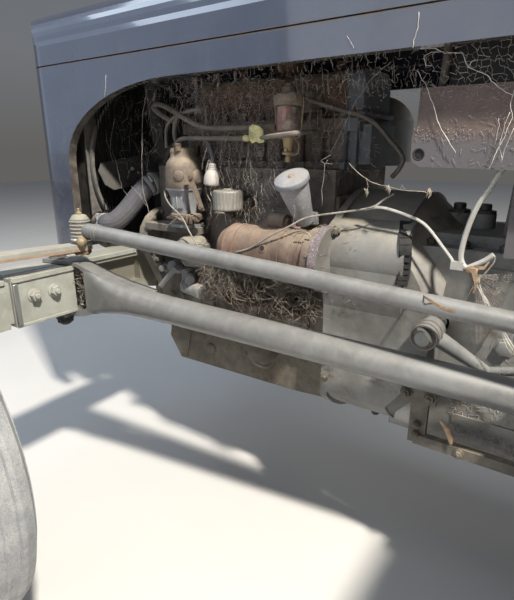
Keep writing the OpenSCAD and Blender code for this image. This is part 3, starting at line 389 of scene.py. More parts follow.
rubber("tyre", (0.060, 0.060, 0.062), (0.40, 0.36, 0.29), 0.62)
rubber("tyre_front", (0.27, 0.285, 0.31), (0.46, 0.46, 0.45), 0.80)
rubber("hose", (0.088, 0.088, 0.106), (0.26, 0.245, 0.235), 0.20)
setm("coolant_hoses", MATS["hose"])
for sd in ("left", "right"):
    setm("rear_tyre_" + sd, MATS["tyre"])
    setm("front_tyre_" + sd, MATS["tyre_front"])

# floor
fm = bpy.data.meshes.new("floor")
fm.from_pydata([(-14, -14, -0.001), (14, -14, -0.001), (14, 14, -0.001), (-14, 14, -0.001)], [], [(0, 1, 2, 3)])
floor = bpy.data.objects.new("floor", fm)
scene.collection.objects.link(floor)
g = Mat("floor")
g.done(g.mix(g.noise(3, 4, 0.5), (0.56, 0.545, 0.52), (0.62, 0.605, 0.58)), 0.85)
floor.data.materials.append(g.m)

# ---------------------------------------------------------------- geometry helpers, in millimetres (x, t, z)
class Build:
    def __init__(s):
        s.v, s.f = [], []

    def add(s, v, f):
        o = len(s.v)
        s.v.extend(tuple(p) for p in v)
        s.f.extend(tuple(i + o for i in q) for q in f)

    @staticmethod
    def axes(axis, hint=None):
        a = Vector(axis).normalized()
        u = a.cross(Vector(hint)) if hint is not None else a.orthogonal()
        if u.length < 1e-6:
            u = a.orthogonal()
        u.normalize()
        return a, u, a.cross(u)

    def rings(s, R, closed=False, caps=True):
        n, m = len(R[0]), len(R)
        v = [p for r in R for p in r]
        f = []
        for i in range(m if closed else m - 1):
            j = (i + 1) % m
            for k in range(n):
                l = (k + 1) % n
                f.append((i * n + k, i * n + l, j * n + l, j * n + k))
        if caps and not closed:
            f.append(tuple(range(n))[::-1])
            f.append(tuple((m - 1) * n + k for k in range(n)))
        s.add(v, f)

    def lathe(s, o, axis, prof, n=24, caps=True, hint=None, rot=0.0):
        a, u, w = s.axes(axis, hint)
        o = Vector(o)
        s.rings([[o + a * h + (u * math.cos(rot + 2 * math.pi * k / n) + w * math.sin(rot + 2 * math.pi * k / n)) * r for k in range(n)] for h, r in prof], caps=caps)

    def cyl(s, a, b, r, r2=None, n=20, ch=0.8):
        a, b = Vector(a), Vector(b)
        l = (b - a).length
        r2 = r if r2 is None else r2
        c = min(ch, r * 0.4, r2 * 0.4, l * 0.3)
        s.lathe(a, b - a, [(0, r - c), (c, r), (l - c, r2), (l, r2 - c)], n)

    def tube(s, pts, r, n=8, caps=True):
        pts = [Vector(p) for p in pts]
        rr = r if isinstance(r, (list, tuple)) else [r] * len(pts)
        R, u = [], None
        for i, p in enumerate(pts):
            t = (pts[min(i + 1, len(pts) - 1)] - pts[max(i - 1, 0)])
            t = t.normalized() if t.length > 1e-9 else Vector((0, 0, 1))
            u = (u - t * u.dot(t)) if u is not None else t.orthogonal()
            if u.length < 1e-6:
                u = t.orthogonal()
            u.normalize()
            w = t.cross(u)
            R.append([p + (u * math.cos(2 * math.pi * k / n) + w * math.sin(2 * math.pi * k / n)) * rr[i] for k in range(n)])
        s.rings(R, caps=caps)

    def loft(s, secs, n=32, caps=True):
        """sections (x, t, z, half width across, half length, exponent) stacked up z"""
        R = []
        for cx, ct, cz, a, b, e in secs:
            r = []
            for k in range(n):
                q = 2 * math.pi * k / n
                c, d = math.cos(q), math.sin(q)
                r.append(Vector((cx + a * math.copysign(abs(c) ** (2 / e), c), ct + b * math.copysign(abs(d) ** (2 / e), d), cz)))
            R.append(r)
        s.rings(R, caps=caps)

    def block(s, a, b, c=1.5):
        x0, y0, z0 = (min(a[i], b[i]) for i in range(3))
        x1, y1, z1 = (max(a[i], b[i]) for i in range(3))
        c = min(c, (x1 - x0) * 0.45, (y1 - y0) * 0.45, (z1 - z0) * 0.45)
        R = []
        for z, e in ((z0, c), (z0 + c, 0), (z1 - c, 0), (z1, c)):
            R.append([Vector(q) for q in ((x0 + c, y0 + e, z), (x1 - c, y0 + e, z), (x1 - e, y0 + c, z), (x1 - e, y1 - c, z), (x1 - c, y1 - e, z), (x0 + c, y1 - e, z), (x0 + e, y1 - c, z), (x0 + e, y0 + c, z))])
        s.rings(R)

    def slab(s, outline, a, b, hint=(1, 0, 0), c=0.8):
        """outline in (t, z), extruded from x=a to x=b"""
        pts = [Vector((0, p[0], p[1])) for p in outline]
        s.rings([[Vector((x, p.y, p.z)) for p in pts] for x in (a, b)])

    def bolt(s, p, axis, af=19.0, h=12.0, washer=2.5, stud=0.0, rot=0.2):
        p = Vector(p)
        a = Vector(axis).normalized()
        R = af / math.sqrt(3)
        if washer:
            s.lathe(p, a, [(0, R * 1.22), (washer * 0.8, R * 1.22), (washer, R * 1.15)], 20)
            p = p + a * washer
        s.lathe(p, a, [(0, R * 0.96), (h * 0.08, R), (h * 0.82, R), (h, R * 0.86)], 6, rot=rot)
        if stud:
            s.lathe(p + a * h * 0.98, a, [(0, af * 0.29), (stud - 1.2, af * 0.29), (stud, af * 0.22)], 12)

    def torus(s, o, axis, R, r, n=48, m=10, arc=None):
        a, u, w = s.axes(axis)
        o = Vector(o)
        rr = []
        for i in range(n):
            q = 2 * math.pi * i / n
            d = u * math.cos(q) + w * math.sin(q)
            rr.append([o + d * (R + r * math.cos(2 * math.pi * k / m)) + a * r * math.sin(2 * math.pi * k / m) for k in range(m)])
        s.rings(rr, closed=True)

    def ball(s, o, r, n=16, squash=1.0, axis=(0, 0, 1)):
        s.lathe(o, axis, [(-r * squash * math.cos(math.pi * i / 9), max(0.05, r * math.sin(math.pi * i / 9))) for i in range(10)], n)

    def ribbon(s, pts, width, thick, side):
        """a flat strip along pts; side is the direction of its width"""
        pts = [Vector(p) for p in pts]
        sd = Vector(side).normalized()
        R = []
        for i, p in enumerate(pts):
            t = (pts[min(i + 1, len(pts) - 1)] - pts[max(i - 1, 0)]).normalized()
            w = (sd - t * sd.dot(t)).normalized()
            q = t.cross(w)
            wd = width[i] if isinstance(width, (list, tuple)) else width
            R.append([p + w * wd / 2 + q * thick / 2, p - w * wd / 2 + q * thick / 2, p - w * wd / 2 - q * thick / 2, p + w * wd / 2 - q * thick / 2])
        s.rings(R)

    def mirror(s):
        n = len(s.v)
        s.v.extend((-x, y, z) for x, y, z in s.v[:n])
        s.f.extend(tuple(i + n for i in q)[::-1] for q in s.f[:])

    def emit(s, name, mat, body="chassis", smooth=38.0, bevel=0.0, sub=0, slot=None):
        me = bpy.data.meshes.new(name)
        me.from_pydata([P(*p) for p in s.v], [], s.f)
        bm = bmesh.new()
        bm.from_mesh(me)
        bmesh.ops.recalc_face_normals(bm, faces=bm.faces)
        lim = math.radians(smooth)
        for e in bm.edges:
            if len(e.link_faces) == 2 and e.calc_face_angle(0) > lim:
                e.smooth = False
        for q in bm.faces:
            q.smooth = True
        bm.to_mesh(me)
        bm.free()
        o = bpy.data.objects.new(name, me)
        scene.collection.objects.link(o)
        me.materials.append(MATS[mat] if isinstance(mat, str) else mat)
        if bevel:
            b = o.modifiers.new("bevel", "BEVEL")
            b.width, b.segments, b.limit_method, b.angle_limit = bevel / 1000, 2, "ANGLE", math.radians(40)
        if sub:
            b = o.modifiers.new("sub", "SUBSURF")
            b.levels = b.render_levels = sub
        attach(o, body)
        return o


def smooth_path(p, n=8):
    p = [Vector(q) for q in p]
    out = []
    for i in range(len(p) - 1):
        a, b, c, d = p[max(i - 1, 0)], p[i], p[i + 1], p[min(i + 2, len(p) - 1)]
        for k in range(n):
            t = k / n
            out.append(0.5 * (2 * b + (c - a) * t + (2 * a - 5 * b + 4 * c - d) * t * t + (3 * b - a - 3 * c + d) * t ** 3))
    out.append(p[-1])
    return out


FPX = 480.0
CR = Vector((-math.cos(TH), math.sin(TH), 0.0))
CU = CR.cross(cam_dir)


def back(px, py, x=None, t=None, z=None):
    """The point on the sight line of a place in the picture where x, t or z has that value, all in mm."""
    v = cam_dir + CR * ((px - 257) / FPX) + CU * ((300 - py) / FPX)
    c = Vector((1030.0, 990.0, 890.0))
    k = ((x - c.x) / v.x) if x is not None else ((t - c.y) / v.y) if t is not None else ((z - c.z) / v.z)
    return c + v * k


# ---------------------------------------------------------------- surface finder and more materials
from mathutils.bvhtree import BVHTree
from mathutils import noise as mnoise

_v, _f, _own = [], [], []
for _nm, _o in N.items():
    _k = len(_v)
    _v.extend(v.co.copy() for v in _o.data.vertices)
    for _p in _o.data.polygons:
        _f.append([i + _k for i in _p.vertices])
        _own.append(_nm)
TREE = BVHTree.FromPolygons(_v, _f)


def hit(px, py, skip=(), lift=0.0):
    """Where the sight line of a place in the picture meets the CAD model: point in mm, normal, node."""
    v = (cam_dir + CR * ((px - 257) / FPX) + CU * ((300 - py) / FPX)).normalized()
    o = Vector(cam.location)
    for _ in range(40):
        loc, nor, i, d = TREE.ray_cast(o, v)
        if loc is None:
            return None
        if _own[i] in skip:
            o = loc + v * 2e-4
            continue
        if nor.dot(v) > 0:
            nor = -nor
        p = Vector((loc.x * 1000, (loc.y + 1.1425) * 1000, loc.z * 1000))
        return p + nor * lift, nor, _own[i]
    return None


def plain(name, c, rough=0.6, metal=0.0, vary=0.25, scale=30.0, bump=0.3, **k):
    g = Mat(name)
    a = g.noise(scale, 6, 0.65, 0.3)
    b = g.noise(scale * 7, 3, 0.6)
    col = g.mix(g.step(a, 0.34, 0.68), tuple(v * (1 - vary) for v in c), tuple(min(1, v * (1 + vary * 0.6)) for v in c))
    m = g.done(col, g.lerp(a, max(0.02, rough - 0.1), min(1, rough + 0.12)), metal, g.bump(g.math("ADD", a, g.mul(b, 0.6)), bump, 0.0008), **k)
    MATS[name] = m
    return m


plain("web", (0.40, 0.355, 0.325), 0.9, scale=60, vary=0.4)
plain("sediment", (0.42, 0.30, 0.26), 0.7, scale=160, vary=0.5)
plain("web_pale", (0.72, 0.69, 0.62), 0.8, scale=60)
plain("web_dim", (0.34, 0.295, 0.265), 0.9, scale=60)
plain("straw", (0.29, 0.245, 0.195), 0.8, scale=45, vary=0.5)
plain("straw_dark", (0.125, 0.098, 0.076), 0.85, scale=45, vary=0.4)
plain("leaf", (0.40, 0.27, 0.17), 0.75, scale=60, vary=0.4)
plain("tape", (0.60, 0.54, 0.26), 0.55, scale=50, vary=0.35)
plain("cable_pale", (0.27, 0.25, 0.215), 0.6, scale=70, vary=0.3)
plain("nest", (0.070, 0.052, 0.038), 0.95, scale=160, vary=0.6, bump=0.8)
plain("radiator_fin", (0.010, 0.010, 0.012), 0.5, scale=60, vary=0.5)
plain("cable_dark", (0.085, 0.072, 0.062), 0.6, scale=70, vary=0.3)
plain("element", (0.48, 0.085, 0.060), 0.7, scale=120, vary=0.4)
# near-black stand-in for the inside of slots and holes: painted shade
plain("slot_painted_shade", (0.020, 0.019, 0.019), 0.8, scale=80, vary=0.5)
plain("boot", (0.50, 0.51, 0.50), 0.75, scale=90, vary=0.45)
plain("orange_dot", (0.27, 0.19, 0.11), 0.6, scale=90)
plain("gauge_white", (0.75, 0.74, 0.69), 0.4, scale=40, vary=0.08)
plain("glass", (0.70, 0.60, 0.54), 0.10, scale=35, vary=0.25, bump=0.10, Transmission_Weight=0.82, IOR=1.25, Coat_Weight=0.8)
weather("casting_tan", (0.185, 0.145, 0.118), dark=(0.100, 0.078, 0.066), up=0.45, film=0.35, rust=0.18, rough=0.8, grain=0.9, lump=0.9, scale=1.6, grime=0.12)
weather("casting_blue", (0.255, 0.265, 0.285), dark=(0.17, 0.18, 0.20), up=0.4, film=0.25, rust=0.05, rough=0.5, grain=0.4, lump=0.4, scale=1.8)
weather("lift_pump", (0.165, 0.168, 0.158), dark=(0.095, 0.096, 0.092), up=0.45, film=0.22, rust=0.05, rough=0.6, grain=0.4, lump=0.4, scale=2)
weather("strap_rust", (0.125, 0.082, 0.060), dark=(0.070, 0.048, 0.038), up=0.3, film=0.25, rust=0.10, rough=0.8, grain=0.7, lump=0.6, scale=2.0)
weather("pale_metal", (0.40, 0.41, 0.42), dark=(0.29, 0.30, 0.31), up=0.3, film=0.2, rust=0.05, rough=0.4, grain=0.3, lump=0.3, metal=0.3, scale=2)
weather("lug", (0.050, 0.050, 0.052), dark=(0.035, 0.035, 0.037), dust=(0.34, 0.30, 0.24), up=0.35, film=0.55, rust=0.0, rough=0.8, grain=0.3, lump=0.4)


def chips(name, spot):
    """Old paint with a pinkish white lichen-like speckle."""
    g = Mat(name)
    med = g.noise(40, 7, 0.7, 0.3)
    sp = g.step(g.voro(330), 0.16, 0.30, 1.0, 0.0)
    patch = g.step(g.noise(28, 6, 0.7), 0.36, 0.52)
    c = g.mix(g.step(med, 0.35, 0.7), (0.13, 0.105, 0.11), (0.23, 0.195, 0.195))
    c = g.mix(g.mul(sp, g.mul(patch, 0.9)), c, spot)
    m = g.done(c, 0.75, 0.0, g.bump(g.math("ADD", sp, med), 0.5, 0.0012))
    MATS[name] = m


chips("speckle", (0.62, 0.54, 0.55))


def by_height(name, base_mat, z0, z1, colour, axis=2):
    """A copy of a weathered material that turns into another colour above a height."""
    m = MATS[base_mat].copy()
    m.name = name
    t = m.node_tree
    b = next(n for n in t.nodes if n.type == "BSDF_PRINCIPLED")
    tc = t.nodes.new("ShaderNodeTexCoord")
    sx = t.nodes.new("ShaderNodeSeparateXYZ")
    t.links.new(tc.outputs["Object"], sx.inputs[0])
    mr = t.nodes.new("ShaderNodeMapRange")
    mr.interpolation_type = "SMOOTHSTEP"
    t.links.new(sx.outputs[axis], mr.inputs["Value"])
    mr.inputs["From Min"].default_value, mr.inputs["From Max"].default_value = z0, z1
    mx = t.nodes.new("ShaderNodeMix")
    mx.data_type = "RGBA"
    src = b.inputs["Base Color"].links[0].from_socket
    t.links.new(mr.outputs[0], mx.inputs[0])
    t.links.new(src, mx.inputs[6])
    mx.inputs[7].default_value = (*colour, 1)
    t.links.new(mx.outputs[2], b.inputs["Base Color"])
    MATS[name] = m
    return m


by_height("box_low", "box_brown", 0.926, 0.892, (0.105, 0.096, 0.103))
setm("battery_box", by_height("box_top_black", "box_low", 0.981, 0.986, (0.010, 0.009, 0.009)))
# the rear ends of the rocker cover and head turn pale blue-grey: a painted sky reflection on their ends
setm("rocker_cover", by_height("rocker_end_painted_reflection", "rocker", -0.606, -0.592, (0.130, 0.142, 0.165), 1))
setm("cylinder_head", by_height("head_end_painted_reflection", "head", -0.600, -0.586, (0.105, 0.115, 0.130), 1))


def edge_rust(name, base_mat, z, w, colour):
    m = MATS[base_mat].copy()
    m.name = name
    t = m.node_tree
    b = next(n for n in t.nodes if n.type == "BSDF_PRINCIPLED")
    g = object.__new__(Mat)
    g.m, g.t, g.b = m, t, b
    g.tc = g.n("ShaderNodeTexCoord")
    g.xyz = g.n("ShaderNodeSeparateXYZ")
    g.link(g.tc.outputs["Object"], g.xyz.inputs[0])
    g.pos = g.tc.outputs["Object"]
    src = b.inputs["Base Color"].links[0].from_socket
    wob = g.math("ADD", g.xyz.outputs[2], g.mul(g.noise(55, 4, 0.6), 0.004))
    mk = g.mul(g.near(wob, z + 0.002, w), g.step(g.noise(30, 6, 0.7), 0.22, 0.42))
    c = g.mix(mk, src, g.mix(g.noise(70, 5, 0.7), (0.19, 0.105, 0.062), (0.40, 0.30, 0.21)))
    g.link(c, b.inputs["Base Color"])
    MATS[name] = m
    return m


edge_rust("knuckle_edge", "knuckle", 0.6785, 0.0050, None)
for sd in ("left", "right"):
    setm("knuckle_" + sd, MATS["knuckle_edge"])

BODY_OF = {"knuckle": 1, "drag_link": 1, "front_wheel": 1, "rear_wheel": 1, "drop_arm": 1}


def pair(name, mat, body, fn, **k):
    for sd in ("left", "right"):
        b = Build()
        fn(b)
        if sd == "right":
            b.v = [(-x, y, z) for x, y, z in b.v]
        b.emit(name + "_" + sd, mat, body + "_" + sd if body in BODY_OF else body, **k)


def one(name, mat, body, fn, **k):
    b = Build()
    fn(b)
    return b.emit(name, mat, body, **k)


rng = random.Random(11)

# ---------------------------------------------------------------- front axle, steering joint and fork
BF = Vector((380, 54, 722))
BR = Vector((244, 1090, 632))
LD = (BR - BF).normalized()


def joint_ribs(b):
    for i, z in enumerate((707.5, 715.5, 723.5, 731.5, 739.5)):
        b.torus((380, 54, z), (0, 0, 1), 20.8, 2.2, 40, 8)
    b.lathe((380, 54, 744), (0, 0, 1), [(-2, 20.5), (0.5, 20.5), (2.5, 19.0), (5.0, 17.2), (7.5, 15.8), (9.5, 12.5), (10.6, 8.0)], 32)


def nipple(b):
    b.lathe((380, 54, 753.6), (0, 0, 1), [(0, 5.8), (0.6, 6.2), (4.6, 6.2), (5.2, 5.6)], 6)
    b.lathe((380, 54, 758.6), (0, 0, 1), [(0, 3.6), (2.5, 3.2), (4.5, 2.2), (5.5, 2.9), (7.2, 3.1), (8.6, 2.2), (9.2, 1.0)], 14)


def boot(b):
    R = []
    n = 44
    for h, r, j in ((703.6, 20.4, 0.3), (701.5, 22.4, 0.8), (699.6, 23.4, 1.6), (697.6, 22.5, 2.0), (696.2, 20.2, 1.6), (696.9, 18.0, 1.0), (699.0, 17.0, 0.3)):
        q = random.Random(int(h * 10))
        R.append([Vector((380 + (r + q.uniform(-j, j)) * math.cos(2 * math.pi * k / n), 54 + (r + q.uniform(-j, j)) * math.sin(2 * math.pi * k / n), h + q.uniform(-j, j) * 0.4)) for k in range(n)])
    b.rings(R)


def socket_collar(b):
    for s0, r in ((44, 18.6), (52, 18.2)):
        b.cyl(BF + LD * s0, BF + LD * (s0 + 5.5), r, n=28, ch=1.4)
    b.cyl(BF + LD * 24, BF + LD * 46, 16.4, n=28, ch=1.5)
    # rear end fitting
    for s0, r in ((40, 18.4), (49, 17.6)):
        b.cyl(BR - LD * s0, BR - LD * (s0 + 5.5), r, n=28, ch=1.4)
    b.bolt(BR - LD * 62, LD, 27, 9, 0)


def link_knob(b):
    p = Vector((396, 76, 697))
    b.lathe(p, (0.55, 0.75, -0.1), [(-9, 6), (-7, 8.2), (-2, 9.6), (2, 9.8), (6, 8.6), (9, 5.5), (10, 2)], 20)
    b.lathe(p, (0.55, 0.75, -0.1), [(-4, 10.6), (-3, 11.4), (-1, 11.4), (0, 10.6)], 20)


def castle_nut(b):
    b.lathe((380, 54, 675.8), (0, 0, -1), [(0, 18.5), (1.2, 19.2), (8.0, 19.2), (9.0, 18.0)], 6, rot=0.3)
    for i in range(6):
        a = i * math.pi / 3 + 0.8
        c, d = math.cos(a), math.sin(a)
        b.lathe((380 + 13.2 * c, 54 + 13.2 * d, 667.2), (0, 0, -1), [(0, 4.6), (2.4, 4.4), (3.0, 3.6)], 8)
    b.tube([(362, 40, 665.6), (380, 54, 665.4), (398, 68, 665.6), (401, 72, 668.5)], 1.5, 6)


pair("joint_ribs", "cream", "drag_link", joint_ribs)
pair("joint_nipple", "brass", "drag_link", nipple)
pair("joint_boot", "boot", "drag_link", boot, smooth=60)
pair("link_collars", "rod", "drag_link", socket_collar)
pair("link_plug", "brass", "drag_link", link_knob)
pair("joint_nut", "strap_rust", "knuckle", castle_nut)


def kingpin_parts(b):
    # clamp boss at the top of the kingpin
    b.lathe((625, 0, 692), (0, 0, 1), [(0, 31), (1.5, 32), (4, 32), (6, 29), (6.5, 22)], 36)
    b.lathe((625, 0, 697), (0, 0, 1), [(0, 18), (3, 18.5), (6, 17), (8, 10), (8.4, 2)], 30)


pair("kingpin_cap", "knuckle_edge", "knuckle", kingpin_parts)


def arm_lip(b):
    b.block((402, 41.6, 630), (547, 46.2, 641.5), 1.8)
    b.block((402, 34, 638.4), (547, 46.2, 641.5), 1.2)
    b.block((561, 41.6, 630), (592, 46.2, 641.5), 1.8)
    b.block((402, 41.6, 533.5), (547, 44.6, 541), 1.5)


def arm_bolts(b):
    for x in (455, 502):
        b.bolt((x, 42, 596), (0, 1, 0), 21, 11, 3.0, 5.0, rot=0.35 + x * 0.013)
        b.bolt((x, 2.4, 596), (0, -1, 0), 21, 11, 3.0, rot=0.6)


def arm_strip(b):
    b.block((535.5, 41.8, 538), (546.8, 47.5, 629), 1.6)


def fork_nut(b):
    b.lathe((397, -20, 506), (0, 0, -1), [(0, 20), (1, 20.6), (3, 20.6), (3.5, 19)], 28)
    b.lathe((397, -20, 502.8), (0, 0, -1), [(0, 17.6), (1, 18.4), (10, 18.4), (11.5, 16.5)], 6, rot=0.2)
    b.lathe((397, -20, 491.6), (0, 0, -1), [(0, 11), (3, 11), (4.5, 9)], 16)


def fork_block(b):
    b.lathe((397, -20, 655.8), (0, 0, 1), [(0, 19.5), (1.0, 20.4), (9.0, 20.4), (10.5, 18.6)], 6, rot=0.35)
    b.lathe((397, -20, 666), (0, 0, 1), [(0, 10.5), (4, 10.2), (5.2, 8.5)], 16)


pair("arm_lip", "axle", "chassis", arm_lip)
pair("arm_bolts", "axle", "chassis", arm_bolts)
pair("arm_strip", "rod", "chassis", arm_strip)
pair("fork_nut", "black_metal", "chassis", fork_nut)
pair("fork_pin_head", "bolt_dark", "chassis", fork_block)


def beam_lips(b):
    # pale flange along the upper and lower edges of the beam
    for x0, x1 in ((184, 398),):
        b.block((x0, 1.4, 629), (x1, 6.2, 641.5), 1.8)
        b.block((x0, 1.4, 533.5), (x1, 6.2, 545), 1.8)
        b.block((x0, -66.2, 629), (x1, -61.4, 641.5), 1.8)
        b.block((x0, -66.2, 533.5), (x1, -61.4, 545), 1.8)


pair("beam_lips", "axle", "chassis", beam_lips)

# forged ribs and weld rings on the radius rods
A = Vector((386, 90, 585))
B_ = Vector((187, 1075, 493))
RD = (B_ - A).normalized()


def rod_rings(b):
    b.torus(B_ - RD * 52, RD, 27.6, 2.4, 44, 8)
    b.lathe(B_, RD, [(-46, 30), (-40, 33), (-34, 34)], 36)
    for i in range(4):
        a = i * math.pi / 2 + 0.5
        u = RD.orthogonal().normalized()
        w = RD.cross(u)
        b.bolt(B_ - RD * 44 + (u * math.cos(a) + w * math.sin(a)) * 30, -RD, 11, 6, 1.2)


pair("rod_rings", "rod", "chassis", rod_rings)


def axle_beam_dust_and_shade():
    """The beam's web between its flanges is dark with old dust and with painted shade of its recess, and the beam
    inboard of the arms is darker as well; the pipes' node also holds the pale cable.
    """
    m = MATS["axle"].copy()
    m.name = "axle_web_dust_and_shade"
    t = m.node_tree
    b = next(n for n in t.nodes if n.type == "BSDF_PRINCIPLED")
    g = object.__new__(Mat)
    g.m, g.t, g.b = m, t, b
    g.tc = g.n("ShaderNodeTexCoord")
    g.xyz = g.n("ShaderNodeSeparateXYZ")
    g.link(g.tc.outputs["Object"], g.xyz.inputs[0])
    g.pos = g.tc.outputs["Object"]
    src = b.inputs["Base Color"].links[0].from_socket
    ax = g.math("ABSOLUTE", g.xyz.outputs[0])
    # painted shade with dust: the recessed web between the flanges is darkened
    mk = g.mul(g.step(ax, 0.388, 0.400, 1.0, 0.0), g.near(g.xyz.outputs[2], 0.588, 0.055))
    c = g.mix(g.mul(mk, 0.88), src, g.mix(g.noise(60, 7, 0.7), (0.055, 0.046, 0.036), (0.17, 0.145, 0.11)))
    # the whole beam inboard of the arms is darkened as well
    c2 = g.mix(g.mul(g.step(ax, 0.388, 0.400, 1.0, 0.0), 0.45), c, (0.20, 0.19, 0.15))
    g.link(c2, b.inputs["Base Color"])
    setm("front_axle", m)
    m = MATS["pipe"].copy()
    m.name = "pipe_and_cable"
    t = m.node_tree
    b = next(n for n in t.nodes if n.type == "BSDF_PRINCIPLED")
    g.m, g.t, g.b = m, t, b
    g.tc = g.n("ShaderNodeTexCoord")
    g.xyz = g.n("ShaderNodeSeparateXYZ")
    g.link(g.tc.outputs["Object"], g.xyz.inputs[0])
    g.pos = g.tc.outputs["Object"]
    src = b.inputs["Base Color"].links[0].from_socket
    mk = g.step(g.xyz.outputs[1], -0.53, -0.51)
    c = g.mix(mk, src, g.mix(g.noise(50, 6, 0.7), (0.33, 0.315, 0.28), (0.60, 0.59, 0.56)))
    g.link(c, b.inputs["Base Color"])
    setm("pipes_and_cable", m)


axle_beam_dust_and_shade()


# ---------------------------------------------------------------- cooling: hose clamps, blade rivets, fan hub
def fins(b):
    for i in range(46):
        x = 226 * (i / 45) * 2 - 226
        if abs(x) > 206:
            continue
        b.block((x - 0.8, -112.4, 676), (x + 0.8, -108.6, 1068), 0.3)
    for z in range(690, 1066, 26):
        b.block((-206, -111.6, z), (206, -110.0, z + 1.6), 0.3)


_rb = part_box("radiator")
RAD_T = _rb[1][1] * 1000 + 1142.5


def hose_bits(b):
    for a, c, r, w in (((204, -90.2, 702), (204, -82, 702), 27.4, 9), ((143, 21, 799), (134, 26, 805), 27.4, 9)):
        a, c = Vector(a), Vector(c)
        d = (c - a).normalized()
        b.cyl(a, a + d * w, r, n=40, ch=0.8)
        u = d.cross(Vector((0, 0, 1))).normalized()
        q = a + d * (w / 2) + (u * 0.8 + Vector((0, 0, 1)) * 0.6).normalized() * (r + 2.5)
        b.cyl(q - u.cross(d) * 7, q + u.cross(d) * 7, 4.0, n=12)
        b.bolt(q + u.cross(d) * 7, u.cross(d), 7, 4, 0.6)


def hose_collar(b):
    a, c = Vector((133, 26.5, 805.5)), Vector((116, 32.8, 811.5))
    d = (c - a).normalized()
    b.lathe(a, d, [(0, 26.6), (1.0, 28.6), (5.0, 29.2), (9.0, 28.4), (13, 27.2), (15.5, 26.2)], 36)


def top_clamps(b):
    for p, ax in (((0, -84, 1092), (0, 1, 0)), ((0, 94, 990), (0, 0.15, -1))):
        b.lathe(p, ax, [(0, 22.8), (0.6, 23.8), (8.4, 23.8), (9, 22.8)], 36)
        b.bolt(Vector(p) + Vector((24, 4, 4)), (0, 0, 1), 7, 5, 0.6)


one("hose_clamps", "pale_metal", "chassis", hose_bits)
one("hose_collar", "pale_metal", "chassis", hose_collar)
one("top_hose_clamps", "pale_metal", "chassis", top_clamps)


def blade_rivets(b):
    for k in range(4):
        a = math.radians(-7 + 90 * k)
        # two rivets on each blade's spider arm
        for r, dz in ((96, -7), (112, 7)):
            c, d = math.cos(a), math.sin(a)
            p = Vector((r * c - dz * d, -66.0, 848 + r * d + dz * c))
            b.lathe(p, (0, 1, 0), [(-6, 4.4), (0.4, 4.4), (2.0, 3.8), (3.0, 2.4), (3.4, 0.8)], 14)


def fan_hub(b):
    b.lathe((0, -76, 848), (0, -1, 0), [(-4, 20), (0, 20.5), (3, 19), (4, 12), (8, 11), (9, 8)], 24)
    for k in range(4):
        a = math.radians(38 + 90 * k)
        b.bolt((44 * math.cos(a), -58.5, 848 + 44 * math.sin(a)), (0, 1, 0), 11, 6, 1.5)


one("blade_rivets", "pale_metal", "cooling_fan", blade_rivets)
one("fan_hub_bolts", "bolt_dark", "cooling_fan", fan_hub)


# ---------------------------------------------------------------- fuel pump, lift pump, pipes
def pump_low(b):
    b.loft([(184, 194, 716.5, 30, 33, 5), (184, 194, 724, 30.5, 33.5, 5), (184, 194, 727, 25, 25, 5), (184, 193.5, 748, 25.5, 25.5, 6), (184, 193, 768, 27, 26.5, 6),
            (184, 192.4, 786, 29, 28, 6), (184, 191.6, 795, 30.5, 30, 6), (184, 191, 800, 33, 32, 6), (184, 190.6, 802, 36, 35, 5), (184, 190.6, 805.4, 36.5, 35.5, 5)], 44)
    # two shallow panels on the outer face
    b.block((208, 176, 760), (213.4, 209, 790), 1.5)
    b.block((208, 190, 757), (215.2, 193.5, 793), 1.2)


def pump_top(b):
    b.loft([(184, 190.6, 805.6, 36.5, 35.5, 4), (184, 190.6, 809, 37.5, 37, 3.4), (183.4, 190.4, 816, 39.5, 39, 2.8), (183, 190.2, 828, 41.5, 41, 2.4), (182.4, 190, 840, 42.4, 42.2, 2.2),
            (182, 190, 852, 42.4, 42.4, 2.1), (182, 190, 860, 40.6, 40.8, 2.0), (182, 190, 867, 36.5, 37, 2.0), (182, 190, 872, 31.5, 32.5, 2.1), (182, 190, 876, 29.0, 30.2, 2.3),
            (182, 190, 884, 28.2, 29.6, 2.5), (182, 190, 890, 28.0, 29.4, 2.6), (182, 190, 894, 26.0, 28, 2.6), (182, 190, 895.5, 20, 22, 2.6)], 48)
    # side bosses and a governor housing
    b.lathe((211, 205, 834), (1, 0.25, 0), [(0, 14), (8, 13.5), (12, 12), (14, 8), (15, 3)], 24)
    b.lathe((182, 228, 832), (0, 1, 0), [(-6, 18), (5, 17), (8, 14), (9, 9)], 24)
    b.cyl((150, 188, 852), (138, 184, 856), 9, n=18)


def pump_heads(b):
    for x, t, h in ((176, 164, 903), (190, 177, 903), (206, 198, 902), (163, 206, 901)):
        b.lathe((x, t, 888), (0, 0, 1), [(0, 9.0), (h - 894, 8.8), (h - 893.4, 7.6), (h - 889, 7.2)], 18)
        b.lathe((x, t, h - 5), (0, 0, 1), [(0, 7.8), (0.8, 8.4), (6.4, 8.4), (7.4, 7.2)], 6, rot=0.3 + x)
    b.lathe((202, 180, 880), (0.4, -0.2, 1), [(0, 6), (9, 5.5), (10, 3)], 6)


def pump_strap(b):
    p = [back(188.8, 174.0, x=222), back(191, 180, x=224), back(195.5, 191, x=223), back(199.2, 202, x=221), back(202.2, 211, x=218)]
    b.ribbon(smooth_path(p, 5), 11.0, 4.0, CR)
    b.ribbon([back(193.0, 186, x=225.8), back(196.8, 196, x=224.6), back(200.2, 206, x=222.0)], 3.6, 2.0, CR)
    for q in ((190.4, 178, 226.0), (200.9, 207.5, 222.4)):
        b.bolt(back(q[0], q[1], x=q[2]), (1, 0.3, 0.1), 9, 4.5, 1.2)


